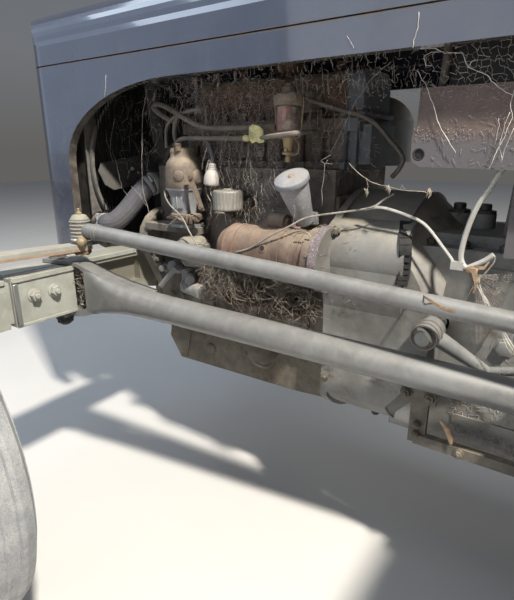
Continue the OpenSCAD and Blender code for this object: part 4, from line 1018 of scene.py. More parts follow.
def pump_clamp(b):
    # rusted clamp band round the pump's foot with its ears and bolt
    n = 40
    rg = random.Random(5)
    R = []
    for z, r in ((733, 35.5), (734, 38.5), (738, 39.6), (743, 39.8), (747, 38.8), (748.5, 35.5)):
        R.append([Vector((184 + (r + rg.uniform(-0.7, 0.7)) * math.cos(2 * math.pi * k / n), 196 + (r + rg.uniform(-0.7, 0.7)) * math.sin(2 * math.pi * k / n), z + rg.uniform(-0.5, 0.5))) for k in range(n)])
    b.rings(R)
    for p, q in (((206, 226, 729), (226, 233, 750)), ((206, 237, 728), (226, 244, 749))):
        b.block(p, q, 2.2)
    b.cyl((217, 220, 740), (217, 253, 740), 4.0, n=14)
    b.bolt((217, 252, 740), (0, 1, 0), 11, 6, 1.5)
    b.tube([(218, 164, 738), (225, 180, 741), (227, 200, 740), (225, 220, 735), (219, 234, 730)], [3.2, 4.0, 4.4, 3.8, 3.0], 10)


def lift_pump(b):
    c = (196, 222)
    b.lathe((*c, 628), (0, 0, 1), [(-3, 13), (-1, 20), (0, 24), (6, 28.5), (14, 31.5), (24, 35), (34, 38.5), (38, 39.5), (38.6, 42.5), (45, 43), (52, 42.4), (53.4, 40), (54, 37)], 40)
    b.block((150.5, 204, 652), (168, 240, 682), 2)
    for i in range(6):
        a = i * math.pi / 3 + 0.3
        b.lathe((c[0] + 38.5 * math.cos(a), c[1] + 38.5 * math.sin(a), 681), (0, 0, 1), [(0, 4.6), (2.6, 4.5), (3.6, 3.4)], 12)
    # side ports
    b.lathe((c[0] + 34, c[1] - 26, 664), (0.8, -0.6, 0), [(-6, 9), (8, 8), (9, 6.5), (16, 6.2)], 14)


def lift_dome(b):
    b.lathe((196, 222, 681.6), (0, 0, 1), [(0, 35.5), (2, 36.0), (5, 34.8), (9, 31), (12.5, 25.5), (15.5, 18), (17.2, 10), (17.8, 3)], 40)
    b.torus((196, 222, 683.6), (0, 0, 1), 36.4, 1.6, 44, 8)


o = one("pump_body_lower", "casting_blue", "chassis", pump_low)
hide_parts("injection_pump")
one("pump_body_upper", "casting_tan", "chassis", pump_top, sub=0)
one("pump_unions", "strap_rust", "chassis", pump_heads)
one("pump_strap", "strap_rust", "chassis", pump_strap)
one("pump_clamp", "strap_rust", "chassis", pump_clamp)
one("lift_pump", "lift_pump", "chassis", lift_pump)
one("lift_pump_dome", "lift_pump", "chassis", lift_dome)


def pipe_nuts(b):
    for p, d in (((183.6, 433, 932.6), (0, 1, 0)), ((144, 221, 975.6), (-0.3, 1, -0.05))):
        b.lathe(p, d, [(-7, 7.6), (-6, 8.6), (5, 8.6), (6.4, 7.4)], 6)
        b.lathe(p, d, [(5.8, 7.6), (9, 7.2), (10.5, 6.6)], 16)


one("pipe_unions", "strap_rust", "chassis", pipe_nuts)


# extra pipes that the picture shows over the pump
def loop_pipes(b):
    p = [back(166.8, 148, x=176), back(166.2, 140, x=176), back(166.2, 132, x=173), back(167.6, 125.5, x=169), back(171, 120.2, x=166), back(176.5, 116.4, x=164), back(183, 117.5, x=164)]
    b.tube(smooth_path(p, 6), 4.2, 10)


one("loop_pipes", "pipe", "chassis", loop_pipes)


def tape(b):
    # torn strip of yellow tape wrapped round both pipes
    cols = []
    rg = random.Random(3)
    top = [(249, 126.5), (252.5, 124.4), (256, 125.5), (259.5, 126.5), (263, 129.5)]
    bot = [(248.6, 138.5), (252, 143.5), (255.5, 141.5), (259.5, 143.2), (264, 142.0)]
    for k in range(5):
        c = []
        for j in range(6):
            px = top[k][0] + (bot[k][0] - top[k][0]) * j / 5
            py = top[k][1] + (bot[k][1] - top[k][1]) * j / 5
            c.append(back(px, py, x=205 + rg.uniform(-1.4, 1.4) + 1.6 * math.sin(j * 1.9 + k)))
        cols.append(c)
    n, m = 5, 6
    v = [p for c in cols for p in c] + [p + Vector((-1.0, 0, 0)) for c in cols for p in c]
    f = []
    q = n * m
    for i in range(n - 1):
        for j in range(m - 1):
            a = i * m + j
            f.append((a, a + 1, a + m + 1, a + m))
            f.append((q + a, q + a + m, q + a + m + 1, q + a + 1))
    rim = [(0, j) for j in range(m)] + [(i, m - 1) for i in range(1, n)] + [(n - 1, j) for j in range(m - 2, -1, -1)] + [(i, 0) for i in range(n - 2, 0, -1)]
    ids = [i * m + j for i, j in rim]
    for k in range(len(ids)):
        a, c = ids[k], ids[(k + 1) % len(ids)]
        f.append((a, a + q, c + q, c))
    b.add(v, f)


one("pipe_tape", "tape", "chassis", tape, smooth=70)


def tape_wraps(b):
    for pts, r in (([(192.6, 372, 913.2), (193.4, 386, 913.1)], 6.4), ([(178.2, 384, 933.5), (179.6, 402, 933.4)], 7.2)):
        a, c = Vector(pts[0]), Vector(pts[1])
        b.lathe(a, c - a, [(0, r - 1.2), (0.6, r), (5, r + 0.5), (8, r - 0.1), ((c - a).length, r - 1)], 18)


one("tape_wraps", "tape", "chassis", tape_wraps)


def plug(b):
    a, c = back(212.4, 163.0, x=190), back(211.0, 185.2, x=190)
    L = (c - a).length
    s = L / 51
    b.lathe(a, c - a, [(0, 5.8), (1.5, 7.4), (9 * s, 8.6), (15 * s, 9.6), (20 * s, 12.5), (27 * s, 15.2), (36 * s, 16.8), (46 * s, 17.2), (49 * s, 16.4), (51 * s, 14.0), (51.5 * s, 6)], 28)
    for i in range(3):
        b.torus(a + (c - a) * (0.08 + 0.08 * i), c - a, 8.3 + 0.5 * i, 0.9, 24, 6)


def plug_cable(b):
    p = [back(203.5, 134, x=184), back(206.2, 140, x=188), back(209.4, 146, x=189.5), back(211.6, 153, x=190), back(212.6, 160, x=190), back(212.4, 163.8, x=190)]
    b.tube(smooth_path(p, 6), 4.6, 12)


def plug_wires(b):
    b.tube(smooth_path([back(206.0, 185.2, x=188), back(206.0, 191, x=190), back(208.5, 197.5, x=196), back(211.5, 203.5, x=200), back(210.5, 214, x=200)], 5), 1.3, 6)
    b.tube(smooth_path([back(213.0, 185.4, x=188), back(210.2, 190, x=192), back(212.0, 197, x=199), back(214.5, 201, x=204)], 5), 1.1, 6)
    b.tube(smooth_path([back(211.5, 165, x=196), back(209, 160, x=197), back(206.5, 168, x=201), back(205.6, 172, x=201)], 4), 1.0, 6)


one("plug", "white_plastic", "chassis", plug)
one("plug_cable", "hose", "chassis", plug_cable)
one("plug_wires", "cable_pale", "chassis", plug_wires)


def drum(b):
    n = 96
    R = []
    for h, r, fl in ((762, 24, 0), (762.5, 31.5, 0), (764, 33.2, 0), (766, 33.6, 0), (768, 33.8, 1), (800, 33.8, 1), (802, 33.4, 0), (804.4, 32.4, 0), (805.4, 29, 0), (805.8, 14, 0), (807.0, 11, 0), (809, 9, 0), (809.4, 3, 0)):
        R.append([Vector((180 + (r - fl * 1.0 * (k % 4 < 2)) * math.cos(2 * math.pi * k / n), 316 + (r - fl * 1.0 * (k % 4 < 2)) * math.sin(2 * math.pi * k / n), h)) for k in range(n)])
    b.rings(R)


def drum_bracket(b):
    b.block((143, 304, 756), (214, 328, 761.8), 2)
    b.block((140, 298, 740), (149, 334, 806), 2)
    b.cyl((180, 316, 752), (180, 316, 763), 8, n=16)
    for t in (306, 326):
        b.bolt((149, t, 748), (1, 0, 0), 11, 5, 1.4)


one("ribbed_drum", "silver", "chassis", drum)
one("drum_bracket", "bolt_dark", "chassis", drum_bracket)


def block_bits(b):
    # plugs, studs and cover screws along the block's side
    for px, py, af in ((251, 203, 21), (244.5, 198, 10), (257, 198, 10)):
        p, n_, own = hit(px, py, skip=("pipes_and_cable", "injection_pump", "starter_motor", "drag_link_left"))
        b.bolt(p, n_, af, af * 0.5, 2.2, rot=px)
    for t in range(222, 516, 48):
        for z in (648, 762):
            b.bolt((146, t, z), (1, 0, 0), 11, 6, 1.4, rot=t * 0.1)
    for t in (90, 130):
        for z in (520, 600, 780, 830):
            b.bolt((138, t, z), (1, 0, 0), 13, 7, 1.6, rot=z * 0.1)
    for i in range(9):
        b.cyl((138, 100 + i * 54, 838), (143, 100 + i * 54, 838), 9, n=18)
    # left side: core plugs on the other face
    for t in (140, 260, 380, 500):
        b.lathe((-130, t, 690), (-1, 0, 0), [(0, 22), (2, 21.5), (2.6, 19), (1.6, 17.5), (1.4, 3)], 28)
    for t in range(80, 560, 60):
        b.bolt((-130, t, 480), (-1, 0, 0), 13, 7, 1.6)


one("block_bolts", "bolt_dark", "chassis", block_bits)


def head_bits(b):
    # long studs and nuts on the head, injectors between the columns, pipes' clips
    for i in range(9):
        t = 142 + i * 50
        b.lathe((90, t, 951), (0, 0, 1), [(0, 10), (1.6, 10), (1.8, 8.6), (9, 8.4), (10, 7.4)], 6, rot=t)
        b.lathe((90, t, 961), (0, 0, 1), [(0, 4.8), (7, 4.8), (8, 3.6)], 12)
    for t in (192, 292, 392, 492):
        b.cyl((88, t, 868), (88, t, 925), 7.0, n=16)
        b.cyl((90, t, 892), (100, t, 892), 6.0, n=14)
    for t in (167, 217, 267, 317, 367, 417, 467, 517):
        b.bolt((112, t, 859.5), (1, 0, 0), 10, 6, 1.2)


def cover_bits(b):
    for t in (160, 240, 320, 400, 480, 560):
        for s in (-1, 1):
            b.bolt((s * 77, t, 962), (0, 0, 1), 9, 5, 1.4, rot=t)
    for t in (230, 490):
        b.lathe((0, t, 1058), (0, 0, 1), [(0, 15), (1.5, 15), (1.6, 11), (11, 11), (13, 9)], 6)
    # breather cap with its gauze ring
    b.lathe((0, 360, 1044), (0, 0, 1), [(0, 16), (10, 16), (11, 30), (13, 33), (27, 33), (31, 30), (33, 20), (33.6, 4)], 36)


one("head_studs", "bolt_dark", "chassis", head_bits)
one("rocker_cover_bolts", "rusty", "chassis", cover_bits)


def filler(b):
    a, c = Vector((170, 507, 752)), Vector((222, 502, 842))
    d = c - a
    L = d.length
    b.lathe(a - d.normalized() * 3, d, [(0, 17), (3, 18.2), (7, 18.6), (10, 19.2), (40, 23.6), (70, 28.0), (L - 13, 30.0), (L - 11.6, 30.2)], 48)
    b.block((146.5, 484, 742), (158, 528, 770), 3)
    b.block((146.5, 492, 746), (176, 522, 764), 5)


def filler_cap(b):
    a, c = Vector((170, 507, 752)), Vector((222, 502, 842))
    d = (c - a).normalized()
    b.lathe(c - d * 14.5, d, [(0, 29.5), (0.3, 33.2), (1.2, 34.2), (4, 34.7), (8.6, 34.8), (11.2, 34.4), (12.8, 33.2), (13.6, 31.2), (13.5, 29.4), (13.9, 28.6), (14.6, 26.8), (14.9, 18), (15.1, 12), (14.7, 8), (14.6, 2)], 64)


def filler_dot(b):
    c = Vector((222, 502, 842))
    d = (c - Vector((170, 507, 752))).normalized()
    b.lathe(c, d, [(0, 5.4), (1.2, 5.2), (2.6, 4.2), (3.2, 2.2), (3.5, 1)], 20)


o = one("filler_neck", "cleaner", "chassis", filler)
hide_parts("oil_filler")
one("filler_cap", "filler", "chassis", filler_cap)
one("filler_dot", "orange_dot", "chassis", filler_dot)


# ---------------------------------------------------------------- fuel filter with its glass bowl
def ff_head(b):
    c = (186, 474)
    b.lathe((*c, 970), (0, 0, 1), [(0, 26.4), (0.8, 28.6), (3.5, 29.8), (15, 30.2), (19, 29.2), (21.5, 25), (22.5, 16.5), (26, 14.0), (33, 13.5), (35, 11), (35.5, 3)], 40)
    b.block((122, 462, 980), (184, 486, 991), 2)
    b.block((74, 460, 963), (124, 488, 1002), 3)
    b.cyl((170, 440, 984), (176, 458, 984), 8.5, n=16)
    b.cyl((206, 488, 984), (216, 500, 984), 8, n=16)
    b.lathe((186, 474, 1004), (0, 0, 1), [(0, 9.5), (5, 9.5), (6, 8.4)], 6)
    b.bolt((96, 488, 990), (0, 1, 0), 12, 6, 1.5)
    b.lathe((186, 474, 912.6), (0, 0, 1), [(0, 19), (1.2, 21.4), (6.8, 22.4), (8.6, 22.0), (9.2, 19.5)], 36)


def ff_bowl(b):
    b.lathe((186, 474, 921.2), (0, 0, 1), [(0, 21.5), (1, 23.6), (3.5, 24.8), (44.5, 25.2), (48, 24.6), (49.4, 22)], 44)


def ff_core(b):
    b.lathe((184, 466, 924), (0, 0, 1), [(0, 9), (1, 11.2), (43, 11.2), (45, 9)], 24)


def ff_sediment(b):
    b.lathe((187, 480, 923.5), (0, 0, 1), [(0, 11), (1, 13.6), (17, 14.2), (24, 12.8), (31, 9.5), (34, 4)], 24)


def ff_tap(b):
    b.lathe((186, 474, 867), (0, 0, 1), [(0, 4.0), (0.8, 5.4), (9.5, 5.6), (10.4, 4.6), (13.4, 4.8), (14.2, 11.2), (15.2, 12.2), (18.2, 12.2), (19.2, 10.8), (20.2, 7.8), (28, 8.8), (38, 10.8), (44, 12.2), (46, 12.4)], 32)
    b.cyl((192, 474, 890), (200, 476, 890), 3.4, n=12)


def ff_wire(b):
    b.tube(smooth_path([(192, 488, 914), (195, 500, 904), (198, 505, 893), (196, 501, 884), (190, 488, 880), (188, 480, 879)], 5), 1.0, 6)
    # bail that holds the bowl
    b.tube(smooth_path([(186, 505, 984), (186, 506, 970), (186, 502.5, 935), (186, 500, 916), (186, 490, 911)], 5), 1.3, 8)
    b.tube(smooth_path([(186, 443, 984), (186, 442, 970), (186, 445.5, 935), (186, 448, 916), (186, 458, 911)], 5), 1.3, 8)


o = one("filter_head", "casting_tan", "chassis", ff_head)
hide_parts("fuel_filter")
one("filter_bowl", "glass", "chassis", ff_bowl)
one("filter_core", "element", "chassis", ff_core)
one("filter_sediment", "sediment", "chassis", ff_sediment)
one("filter_tap", "brass", "chassis", ff_tap)
one("filter_wires", "brass", "chassis", ff_wire)


def engine_cables(b):
    p = [back(300, 97, x=176), back(310, 100, x=166), back(325, 105, x=152), back(345, 111, x=140), back(362, 116, x=132), back(377, 125, x=126), back(390, 140, x=122), back(400, 152, x=120), back(403, 160, x=119), back(399, 169, x=118), back(392, 177, x=112)]
    b.tube(smooth_path(p, 5), 4.6, 10)


one("engine_cable", "cable_dark", "chassis", engine_cables)


def pale_wires(b):
    # the thin wire from the lift pump past the starter to the clip, and the pump's own wire
    p = [back(164.5, 190, x=206), back(165.5, 197, x=222), back(170, 205, x=233), back(178, 213, x=236), back(183, 219, x=236), back(190, 233, x=238), back(199, 247, x=240), back(203, 252, x=240)]
    b.tube(smooth_path(p, 5), 1.7, 8)
    p = [back(182, 214, x=236), back(172, 222, x=233), back(166, 228, x=230)]
    b.tube(smooth_path(p, 4), 1.2, 6)


one("pump_wire", "cable_pale", "chassis", pale_wires)


def thin_wire(b):
    p = [back(236, 252, x=254), back(250, 248, x=252), back(270, 236, x=250), back(290, 226, x=240), back(303, 219, x=226), back(317, 215.5, x=214), back(340, 212.5, x=206), back(362, 209.5, x=200), back(375, 206, x=192), back(385, 199, x=184), back(394, 194, x=178)]
    b.tube(smooth_path(p, 6), 1.9, 8)
    p = [back(298, 233, x=246), back(306, 232.5, x=247), back(311, 237, x=245)]
    b.tube(smooth_path(p, 5), 1.6, 8)


one("thin_wire", "cable_pale", "chassis", thin_wire)


# ---------------------------------------------------------------- starter, clutch housing, sump
def starter_bits(b):
    for t, r in ((352, 52.8), (372, 53.6), (376, 53.6), (470, 52.8), (488, 53.4), (530, 53.2), (541, 54.2)):
        b.lathe((200, t, 686), (0, 1, 0), [(0, r - 1.6), (0.6, r), (3.4, r), (4.0, r - 1.6)], 52)
    # brush cover band with its clamp
    b.lathe((200, 496, 686), (0, 1, 0), [(0, 52.2), (0.4, 53.4), (22, 53.4), (22.6, 52.2)], 52)
    b.block((196, 500, 738), (206, 514, 744), 1.5)
    b.bolt((201, 502, 744), (0, -1, 0), 8, 5, 1)
    b.cyl((200, 318, 686), (200, 323, 686), 12, n=24)
    b.bolt((222, 331, 706), (0, -1, 0), 9, 5, 1)
    b.bolt((178, 331, 666), (0, -1, 0), 9, 5, 1)


def starter_solenoid(b):
    b.lathe((190, 438, 748), (0, 1, 0), [(0, 16.2), (1, 17.4), (5, 17.6), (34, 17.6), (38, 16.6), (39.5, 10), (44, 9.4), (45, 5)], 28)
    b.lathe((190, 430, 748), (0, 1, 0), [(0, 4), (1, 5), (8, 5)], 14)


def starter_hole(b):
    p, n_, own = hit(262, 248.5, skip=("drag_link_left", "pipes_and_cable"))
    b.lathe(p, n_, [(-2.0, 9.0), (0.3, 9.0), (0.9, 8.0), (0.9, 5.4)], 24)


def starter_hole_in(b):
    p, n_, own = hit(262, 248.5, skip=("drag_link_left", "pipes_and_cable"))
    # a near-black disc just inside the plug stands for its bore: painted shade
    b.lathe(p, n_, [(-1.0, 5.4), (0.95, 5.4), (0.98, 2)], 20)


one("starter_bands", "starter", "chassis", starter_bits)
one("starter_switch", "starter", "chassis", starter_solenoid)
one("starter_plug", "starter", "chassis", starter_hole)
one("starter_plug_bore", "slot_painted_shade", "chassis", starter_hole_in)


def flange_face(b):
    # speckled machined rim of the starter flange and clutch housing flange
    b.lathe((200, 566.4, 686), (0, 1, 0), [(0, 60), (0.4, 64.6), (16.4, 64.9), (17.4, 63.6)], 56)


def flange_bolts(b):
    b.bolt((200 + 52, 567, 700), (0, -1, 0), 15, 8, 2.4, 0)
    p, n_, own = hit(320.5, 234, skip=("drag_link_left", "pipes_and_cable"))
    b.bolt((196, 566, 742), (0, -1, 0), 17, 11, 2.6, 4)
    b.bolt((196, 566, 634), (0, -1, 0), 17, 11, 2.6, 4)
    b.bolt((196, 584, 742), (0, 1, 0), 15, 9, 2.4, 4)
    # round the bell flange
    for a in range(0, 360, 20):
        x, z = 240 * math.cos(math.radians(a)), 560 + 240 * math.sin(math.radians(a))
        if abs(x) < 178:
            b.bolt((x, 582, z), (0, 1, 0), 14, 8, 2.2, rot=a * 0.1)
            if abs(x) > 146:
                b.bolt((x, 566, z), (0, -1, 0), 14, 8, 2.2, rot=a * 0.2)
    for z in (426, 470, 514):
        b.bolt((186, 575, z), (1, 0, 0), 12, 6, 2, rot=z)


def bell_bits(b):
    b.lathe((60, 648, 314), (0.1, 0, -1), [(-4, 13), (3, 13), (3.4, 9), (10, 9), (12, 6)], 6)
    b.lathe((0, 640, 310), (0, 0, -1), [(-2, 15), (3, 15), (3.4, 11), (12, 11), (14, 8)], 6)


def dark_ribs(b):
    # cooling slot behind the bell: a near-black strip with cast ribs laid on the surface, painted shade for the slot's
    # depth
    pts = []
    for px, py in ((406, 222), (405.5, 236), (405, 250), (404.5, 264), (403, 276), (401, 286)):
        h = hit(px, py, skip=("drag_link_left", "pipes_and_cable", "radius_rods"))
        if h:
            pts.append(h[0] + h[1] * 0.6)
    if len(pts) > 2:
        b.ribbon(smooth_path(pts, 4), 22, 3.0, CR)
        for i in range(len(pts) - 1):
            for k in (0.2, 0.7):
                q = pts[i].lerp(pts[i + 1], k)
                b.ribbon([q - CR * 9 + Vector((2.4, 0, 0)), q + CR * 9 + Vector((2.4, 0, 0))], 7, 4, Vector((0, 0, 1)))


one("starter_flange", "speckle", "chassis", flange_face)
one("flange_bolts", "bolt_dark", "chassis", flange_bolts)
one("bell_plug", "black_metal", "chassis", bell_bits)


def sump_bits(b):
    for t in range(62, 556, 38):
        b.lathe((136, t, 436.5), (0, 0, -1), [(0, 7.4), (1.4, 7.4), (1.5, 6.2), (7, 6.0), (8, 5.0)], 6, rot=t)
        b.lathe((-133, t, 436.5), (0, 0, -1), [(0, 7.4), (1.4, 7.4), (1.5, 6.2), (7, 6.0), (8, 5.0)], 6, rot=t)
    # ribs and bosses on the sump's side
    b.ribbon([(128, 140, 432), (128, 118, 340)], 8, 5, (0, 1, 0))
    b.lathe((128, 210, 384), (1, 0, 0), [(0, 14), (3, 13.6), (4, 12), (4.2, 4)], 22)
    b.lathe((0, 320, 321), (0, 0, -1), [(0, 20), (1, 20), (1.2, 13), (10, 13), (11.5, 10)], 6)


def sump_vein(b):
    # raised V-shaped lip of the bulge
    pts = []
    for px, py in ((226, 333), (236, 342), (247, 354), (256, 362.5), (262, 365.5), (268, 365), (275, 359.5), (282, 352)):
        h = hit(px, py, skip=("radius_rods", "drag_link_left"))
        if h and h[2] == "oil_sump":
            pts.append(h[0] + h[1] * 0.2)
    if len(pts) > 3:
        b.tube(smooth_path(pts, 5), 2.6, 8)


one("sump_bolts", "bolt_dark", "chassis", sump_bits)
one("sump_lip", "sump", "chassis", sump_vein)


def finned(b):
    # small finned cylinder low in the engine bay
    a, c = back(183, 284, x=172), back(201, 292, x=176)
    d = c - a
    L = d.length
    b.lathe(a, d, [(0, 8), (1, 11.5), (7, 12), (8, 16.5), (L, 17.5), (L + 4, 17), (L + 5, 12)], 30)
    for i in range(4):
        b.torus(a + d.normalized() * (11 + i * 6.5), d, 17.4, 1.8, 32, 8)


def finned_bracket(b):
    b.ribbon([back(176, 268, x=190), back(168, 277, x=192), back(160.5, 286, x=194)], 13, 6, (0, 0.6, 0.8))
    b.block((138.2, 150, 560), (170, 176, 600), 4)
    b.cyl((150, 166, 580), (186, 196, 583), 12, n=20)
    b.lathe((150, 118, 600), (0.9, 0.2, 0.3), [(-10, 18), (4, 18), (8, 15), (24, 13), (26, 9)], 22)
    b.lathe((150, 90, 596), (1, 0, 0), [(-10, 12), (14, 12), (15, 9), (30, 8.6), (31, 6)], 6)


one("finned_cylinder", "casting_blue", "chassis", finned)
one("finned_bracket", "casting_blue", "chassis", finned_bracket)


def timing_bits(b):
    # rim and bolts of the timing cover beside the fan belt
    b.torus((118, 34.6, 668), (0, 1, 0), 74, 3.0, 64, 8)
    b.torus((0, 34.6, 560), (0, 1, 0), 133, 3.0, 80, 8)
    for a in range(-70, 100, 24):
        b.bolt((118 + 70 * math.cos(math.radians(a)), 36, 668 + 70 * math.sin(math.radians(a))), (0, -1, 0), 10, 6, 1.5, rot=a)
        b.bolt((118 + 72 * math.cos(math.radians(a)), 62, 668 + 72 * math.sin(math.radians(a))), (0, 1, 0), 10, 6, 1.5, rot=a)
    for a in range(0, 360, 30):
        b.bolt((126 * math.cos(math.radians(a)), 36, 560 + 126 * math.sin(math.radians(a))), (0, -1, 0), 10, 6, 1.5, rot=a)


one("timing_cover_rim", "lift_pump", "chassis", timing_bits)


# ---------------------------------------------------------------- radiator fins, fork necks, hub rings
def rad_fins(b):
    t0 = RAD_T
    for i in range(45):
        x = -198 + i * 9
        b.block((x - 1.0, t0 - 1.0, 690), (x + 1.0, t0 + 2.4, 1060), 0.3)
    for z in range(700, 1060, 30):
        b.block((-200, t0 - 1.0, z), (200, t0 + 0.9, z + 2), 0.2)


one("radiator_fins", "radiator_fin", "chassis", rad_fins)


def fork_neck(b):
    # forged transition from the fork to the round rod
    a = Vector((397, -20, 0))
    yaw = math.atan2(RD.x, RD.y)
    f = Vector((math.sin(yaw), math.cos(yaw), 0))
    w = Vector((f.y, -f.x, 0))
    R = []
    n = 44
    for u, zl, zh, hw, e in ((92, 527, 642, 22.8, 7), (104, 530.5, 638, 23.6, 6), (120, 534.5, 632, 25.0, 5), (140, 538.5, 624, 27.4, 4), (162, 541.5, 619.5, 29.8, 3.2), (186, 543.8, 613.5, 30.6, 2.7), (212, 544.4, 608.8, 30.4, 2.35), (240, 542.4, 604.4, 30.2, 2.15), (270, 540.0, 600.8, 30.0, 2.0), (300, 537.6, 597.6, 29.7, 2.0), (326, 536.6, 594.0, 28.4, 2.0)):
        k0 = min(1, max(0, (u - 92) / 80))
        off = 11.2 * k0 * k0 * (3 - 2 * k0)
        r = []
        for k in range(n):
            q = 2 * math.pi * k / n
            c, s_ = math.cos(q), math.sin(q)
            p = a + f * u + w * (off + hw * math.copysign(abs(c) ** (2 / e), c))
            zc, hh = (zl + zh) / 2, (zh - zl) / 2
            p.z = zc + hh * math.copysign(abs(s_) ** (2 / e), s_)
            r.append(p)
        R.append(r)
    b.rings(R)


pair("fork_neck", "rod", "chassis", fork_neck)


def hub_rings(b):
    b.torus((244, 785, 584), (1, 0, 0), 19.5, 2.2, 36, 8)
    b.torus((232, 785, 584), (1, 0, 0), 23.4, 1.6, 36, 8)
    b.torus((214, 785, 584), (1, 0, 0), 23.4, 1.8, 36, 8)
    b.lathe((244, 785, 584), (1, 0, 0), [(-1, 15), (1.5, 15), (2.5, 13), (2.5, 10), (5, 9.6), (6, 7)], 28)
    b.torus((252, 785, 584), (1, 0, 0), 14.2, 1.4, 28, 8)


def hub_clip(b):
    b.ribbon(smooth_path([(250, 776, 600), (252.5, 786, 601), (253.5, 796, 594), (252, 800, 583)], 4), 7.5, 1.6, (0.3, 0, 1))


one("clutch_hub_rings", "bolt_dark", "chassis", hub_rings)
one("clutch_hub_clip", "cream", "chassis", hub_clip)


def step_bits(b):
    for t, z in ((754, 453), (798, 453)):
        b.bolt((198, t, z), (1, 0, 0), 17, 9, 2.6, 4, rot=t)
    for t, z in ((780, 392), (780, 372)):
        b.bolt((198, t, z), (1, 0, 0), 13, 7, 2.2, 3, rot=z)
    for t in (860, 1010, 1140):
        b.bolt((204, t, 362), (1, 0, 0), 13, 7, 2.2, 2, rot=t)


pair("step_bolts", "bolt_dark", "chassis", step_bits)


def turret_bits(b):
    for t in (765, 812):
        b.lathe((0, t, 772), (0, 0, 1), [(0, 20), (1, 21), (5, 21), (6, 16), (7, 12), (16, 12), (18, 10)], 30)
        for k in range(4):
            a = k * math.pi / 2 + 0.6
            b.lathe((17 * math.cos(a), t + 17 * math.sin(a), 771), (0, 0, 1), [(0, 5.4), (5, 5.4), (6, 4)], 6)
    for t in range(750, 1190, 62):
        for s in (-1, 1):
            b.bolt((s * 130, t, 724), (0, 0, 1), 15, 8, 2.2, 3, rot=t)
    for a in range(0, 360, 24):
        b.bolt((196 * math.cos(math.radians(a)), 1180, 545 + 196 * math.sin(math.radians(a))), (0, -1, 0), 15, 9, 2.4, rot=a)


one("gearbox_bolts", "black_metal", "chassis", turret_bits)


def gear_plugs(b):
    for t, z, r in ((900, 560, 14), (980, 470, 16), (1010, 640, 12)):
        for s in (-1, 1):
            b.lathe((s * 148, t, z), (s, 0, 0), [(0, r * 1.3), (2, r * 1.3), (2.4, r), (9, r), (10, r * 0.8)], 6, rot=t)
    b.ribbon([(149, 830, 690), (149, 1150, 690)], 14, 3, (0, 0, 1))
    b.ribbon([(149, 830, 400), (149, 1150, 400)], 18, 4, (0, 0, 1))


one("gearbox_plugs", "gearbox", "chassis", gear_plugs)


def grommet(b):
    b.torus((218, 740, 883), (1, 0, 0), 9.0, 2.4, 32, 8)
    # the ring is black rubber; the near-black disc across the hole is painted shade for the dark view through it
    b.lathe((216, 740, 883), (1, 0, 0), [(-4, 8.4), (1.0, 8.6), (1.6, 5), (1.8, 1)], 24)


pair("plate_grommet", "slot_painted_shade", "chassis", grommet)


# ---------------------------------------------------------------- bonnet: grille trim
def grille_bits(b):
    for z in (645, 1053):
        b.tube([(-165, -291, z), (165, -291, z)], 2.4, 8)
    for x in (-176, 176):
        for z in (660, 850, 1040):
            b.lathe((x, -290, z), (0, -1, 0), [(0, 5), (1.5, 4.6), (2.6, 3), (3, 1)], 16)


one("grille_trim", "grille", "bonnet", grille_bits)


# ---------------------------------------------------------------- instrument panel, wheel, tank, battery
def gauge_rims(b):
    ax = Vector((0, -math.cos(math.radians(25)), 0)) * 0
    for x in (-150, -78, 78, 150):
        c = Vector((x, 1080, 1140))
        d = Vector((0, math.sin(math.radians(65)), math.cos(math.radians(65))))
        b.torus(c + d * 14, d, 28.5, 2.2, 44, 8)


def gauge_faces(b):
    d = Vector((0, math.sin(math.radians(65)), math.cos(math.radians(65))))
    for x in (-150, -78, 78, 150):
        b.lathe(Vector((x, 1080, 1140)) + d * 13.6, d, [(-1, 27.4), (0.4, 27.4), (0.5, 1)], 40)


def gauge_marks(b):
    d = Vector((0, math.sin(math.radians(65)), math.cos(math.radians(65))))
    u = Vector((1, 0, 0))
    w = d.cross(u)
    for j, x in enumerate((-150, -78, 78, 150)):
        c = Vector((x, 1080, 1140)) + d * 14.4
        for i in range(11):
            a = math.radians(-130 + i * 26)
            q = u * math.sin(a) + w * math.cos(a) * (1 if w.z > 0 else -1)
            b.ribbon([c + q * 19, c + q * 25], 1.4 if i % 5 else 2.6, 0.5, q.cross(d))
        a = math.radians(-70 + 50 * j)
        q = u * math.sin(a) + w * math.cos(a) * (1 if w.z > 0 else -1)
        b.ribbon([c + d * 0.6 - q * 5, c + d * 0.6 + q * 20], 1.8, 0.6, q.cross(d))
        b.lathe(c, d, [(0, 4), (1.6, 4), (2.4, 2)], 14)


one("gauge_rims", "pale_metal", "chassis", gauge_rims)
one("gauge_faces", "gauge_white", "chassis", gauge_faces)
one("gauge_marks", "black_metal", "chassis", gauge_marks)


def panel_knobs(b):
    d = Vector((0, 0.995, -0.02))
    for x, z in ((-110, 1010), (-70, 1010), (70, 1010), (110, 1010), (110, 1045)):
        b.lathe((x, 1111, z), d, [(-3, 5), (8, 5), (9, 10), (16, 11), (19, 8), (20, 3)], 20)
    for x, z in ((-210, 930), (210, 930), (-210, 1110), (210, 1110)):
        b.bolt((x, 1036, z), (0, -1, 0), 12, 6, 2)


one("panel_knobs", "black_metal", "chassis", panel_knobs)


def wheel_hub(b):
    c = Vector((0, 1283, 1232))
    ax = Vector((0, 0.54688, 0.83722))
    b.lathe(c, ax, [(2, 34), (8, 36), (16, 34), (22, 26), (24, 24), (24.5, 16), (34, 15), (36, 12), (36.5, 3)], 32)


_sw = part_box("steering_wheel")
one("wheel_hub_nut", "wheel_rim", "steering_wheel", wheel_hub)


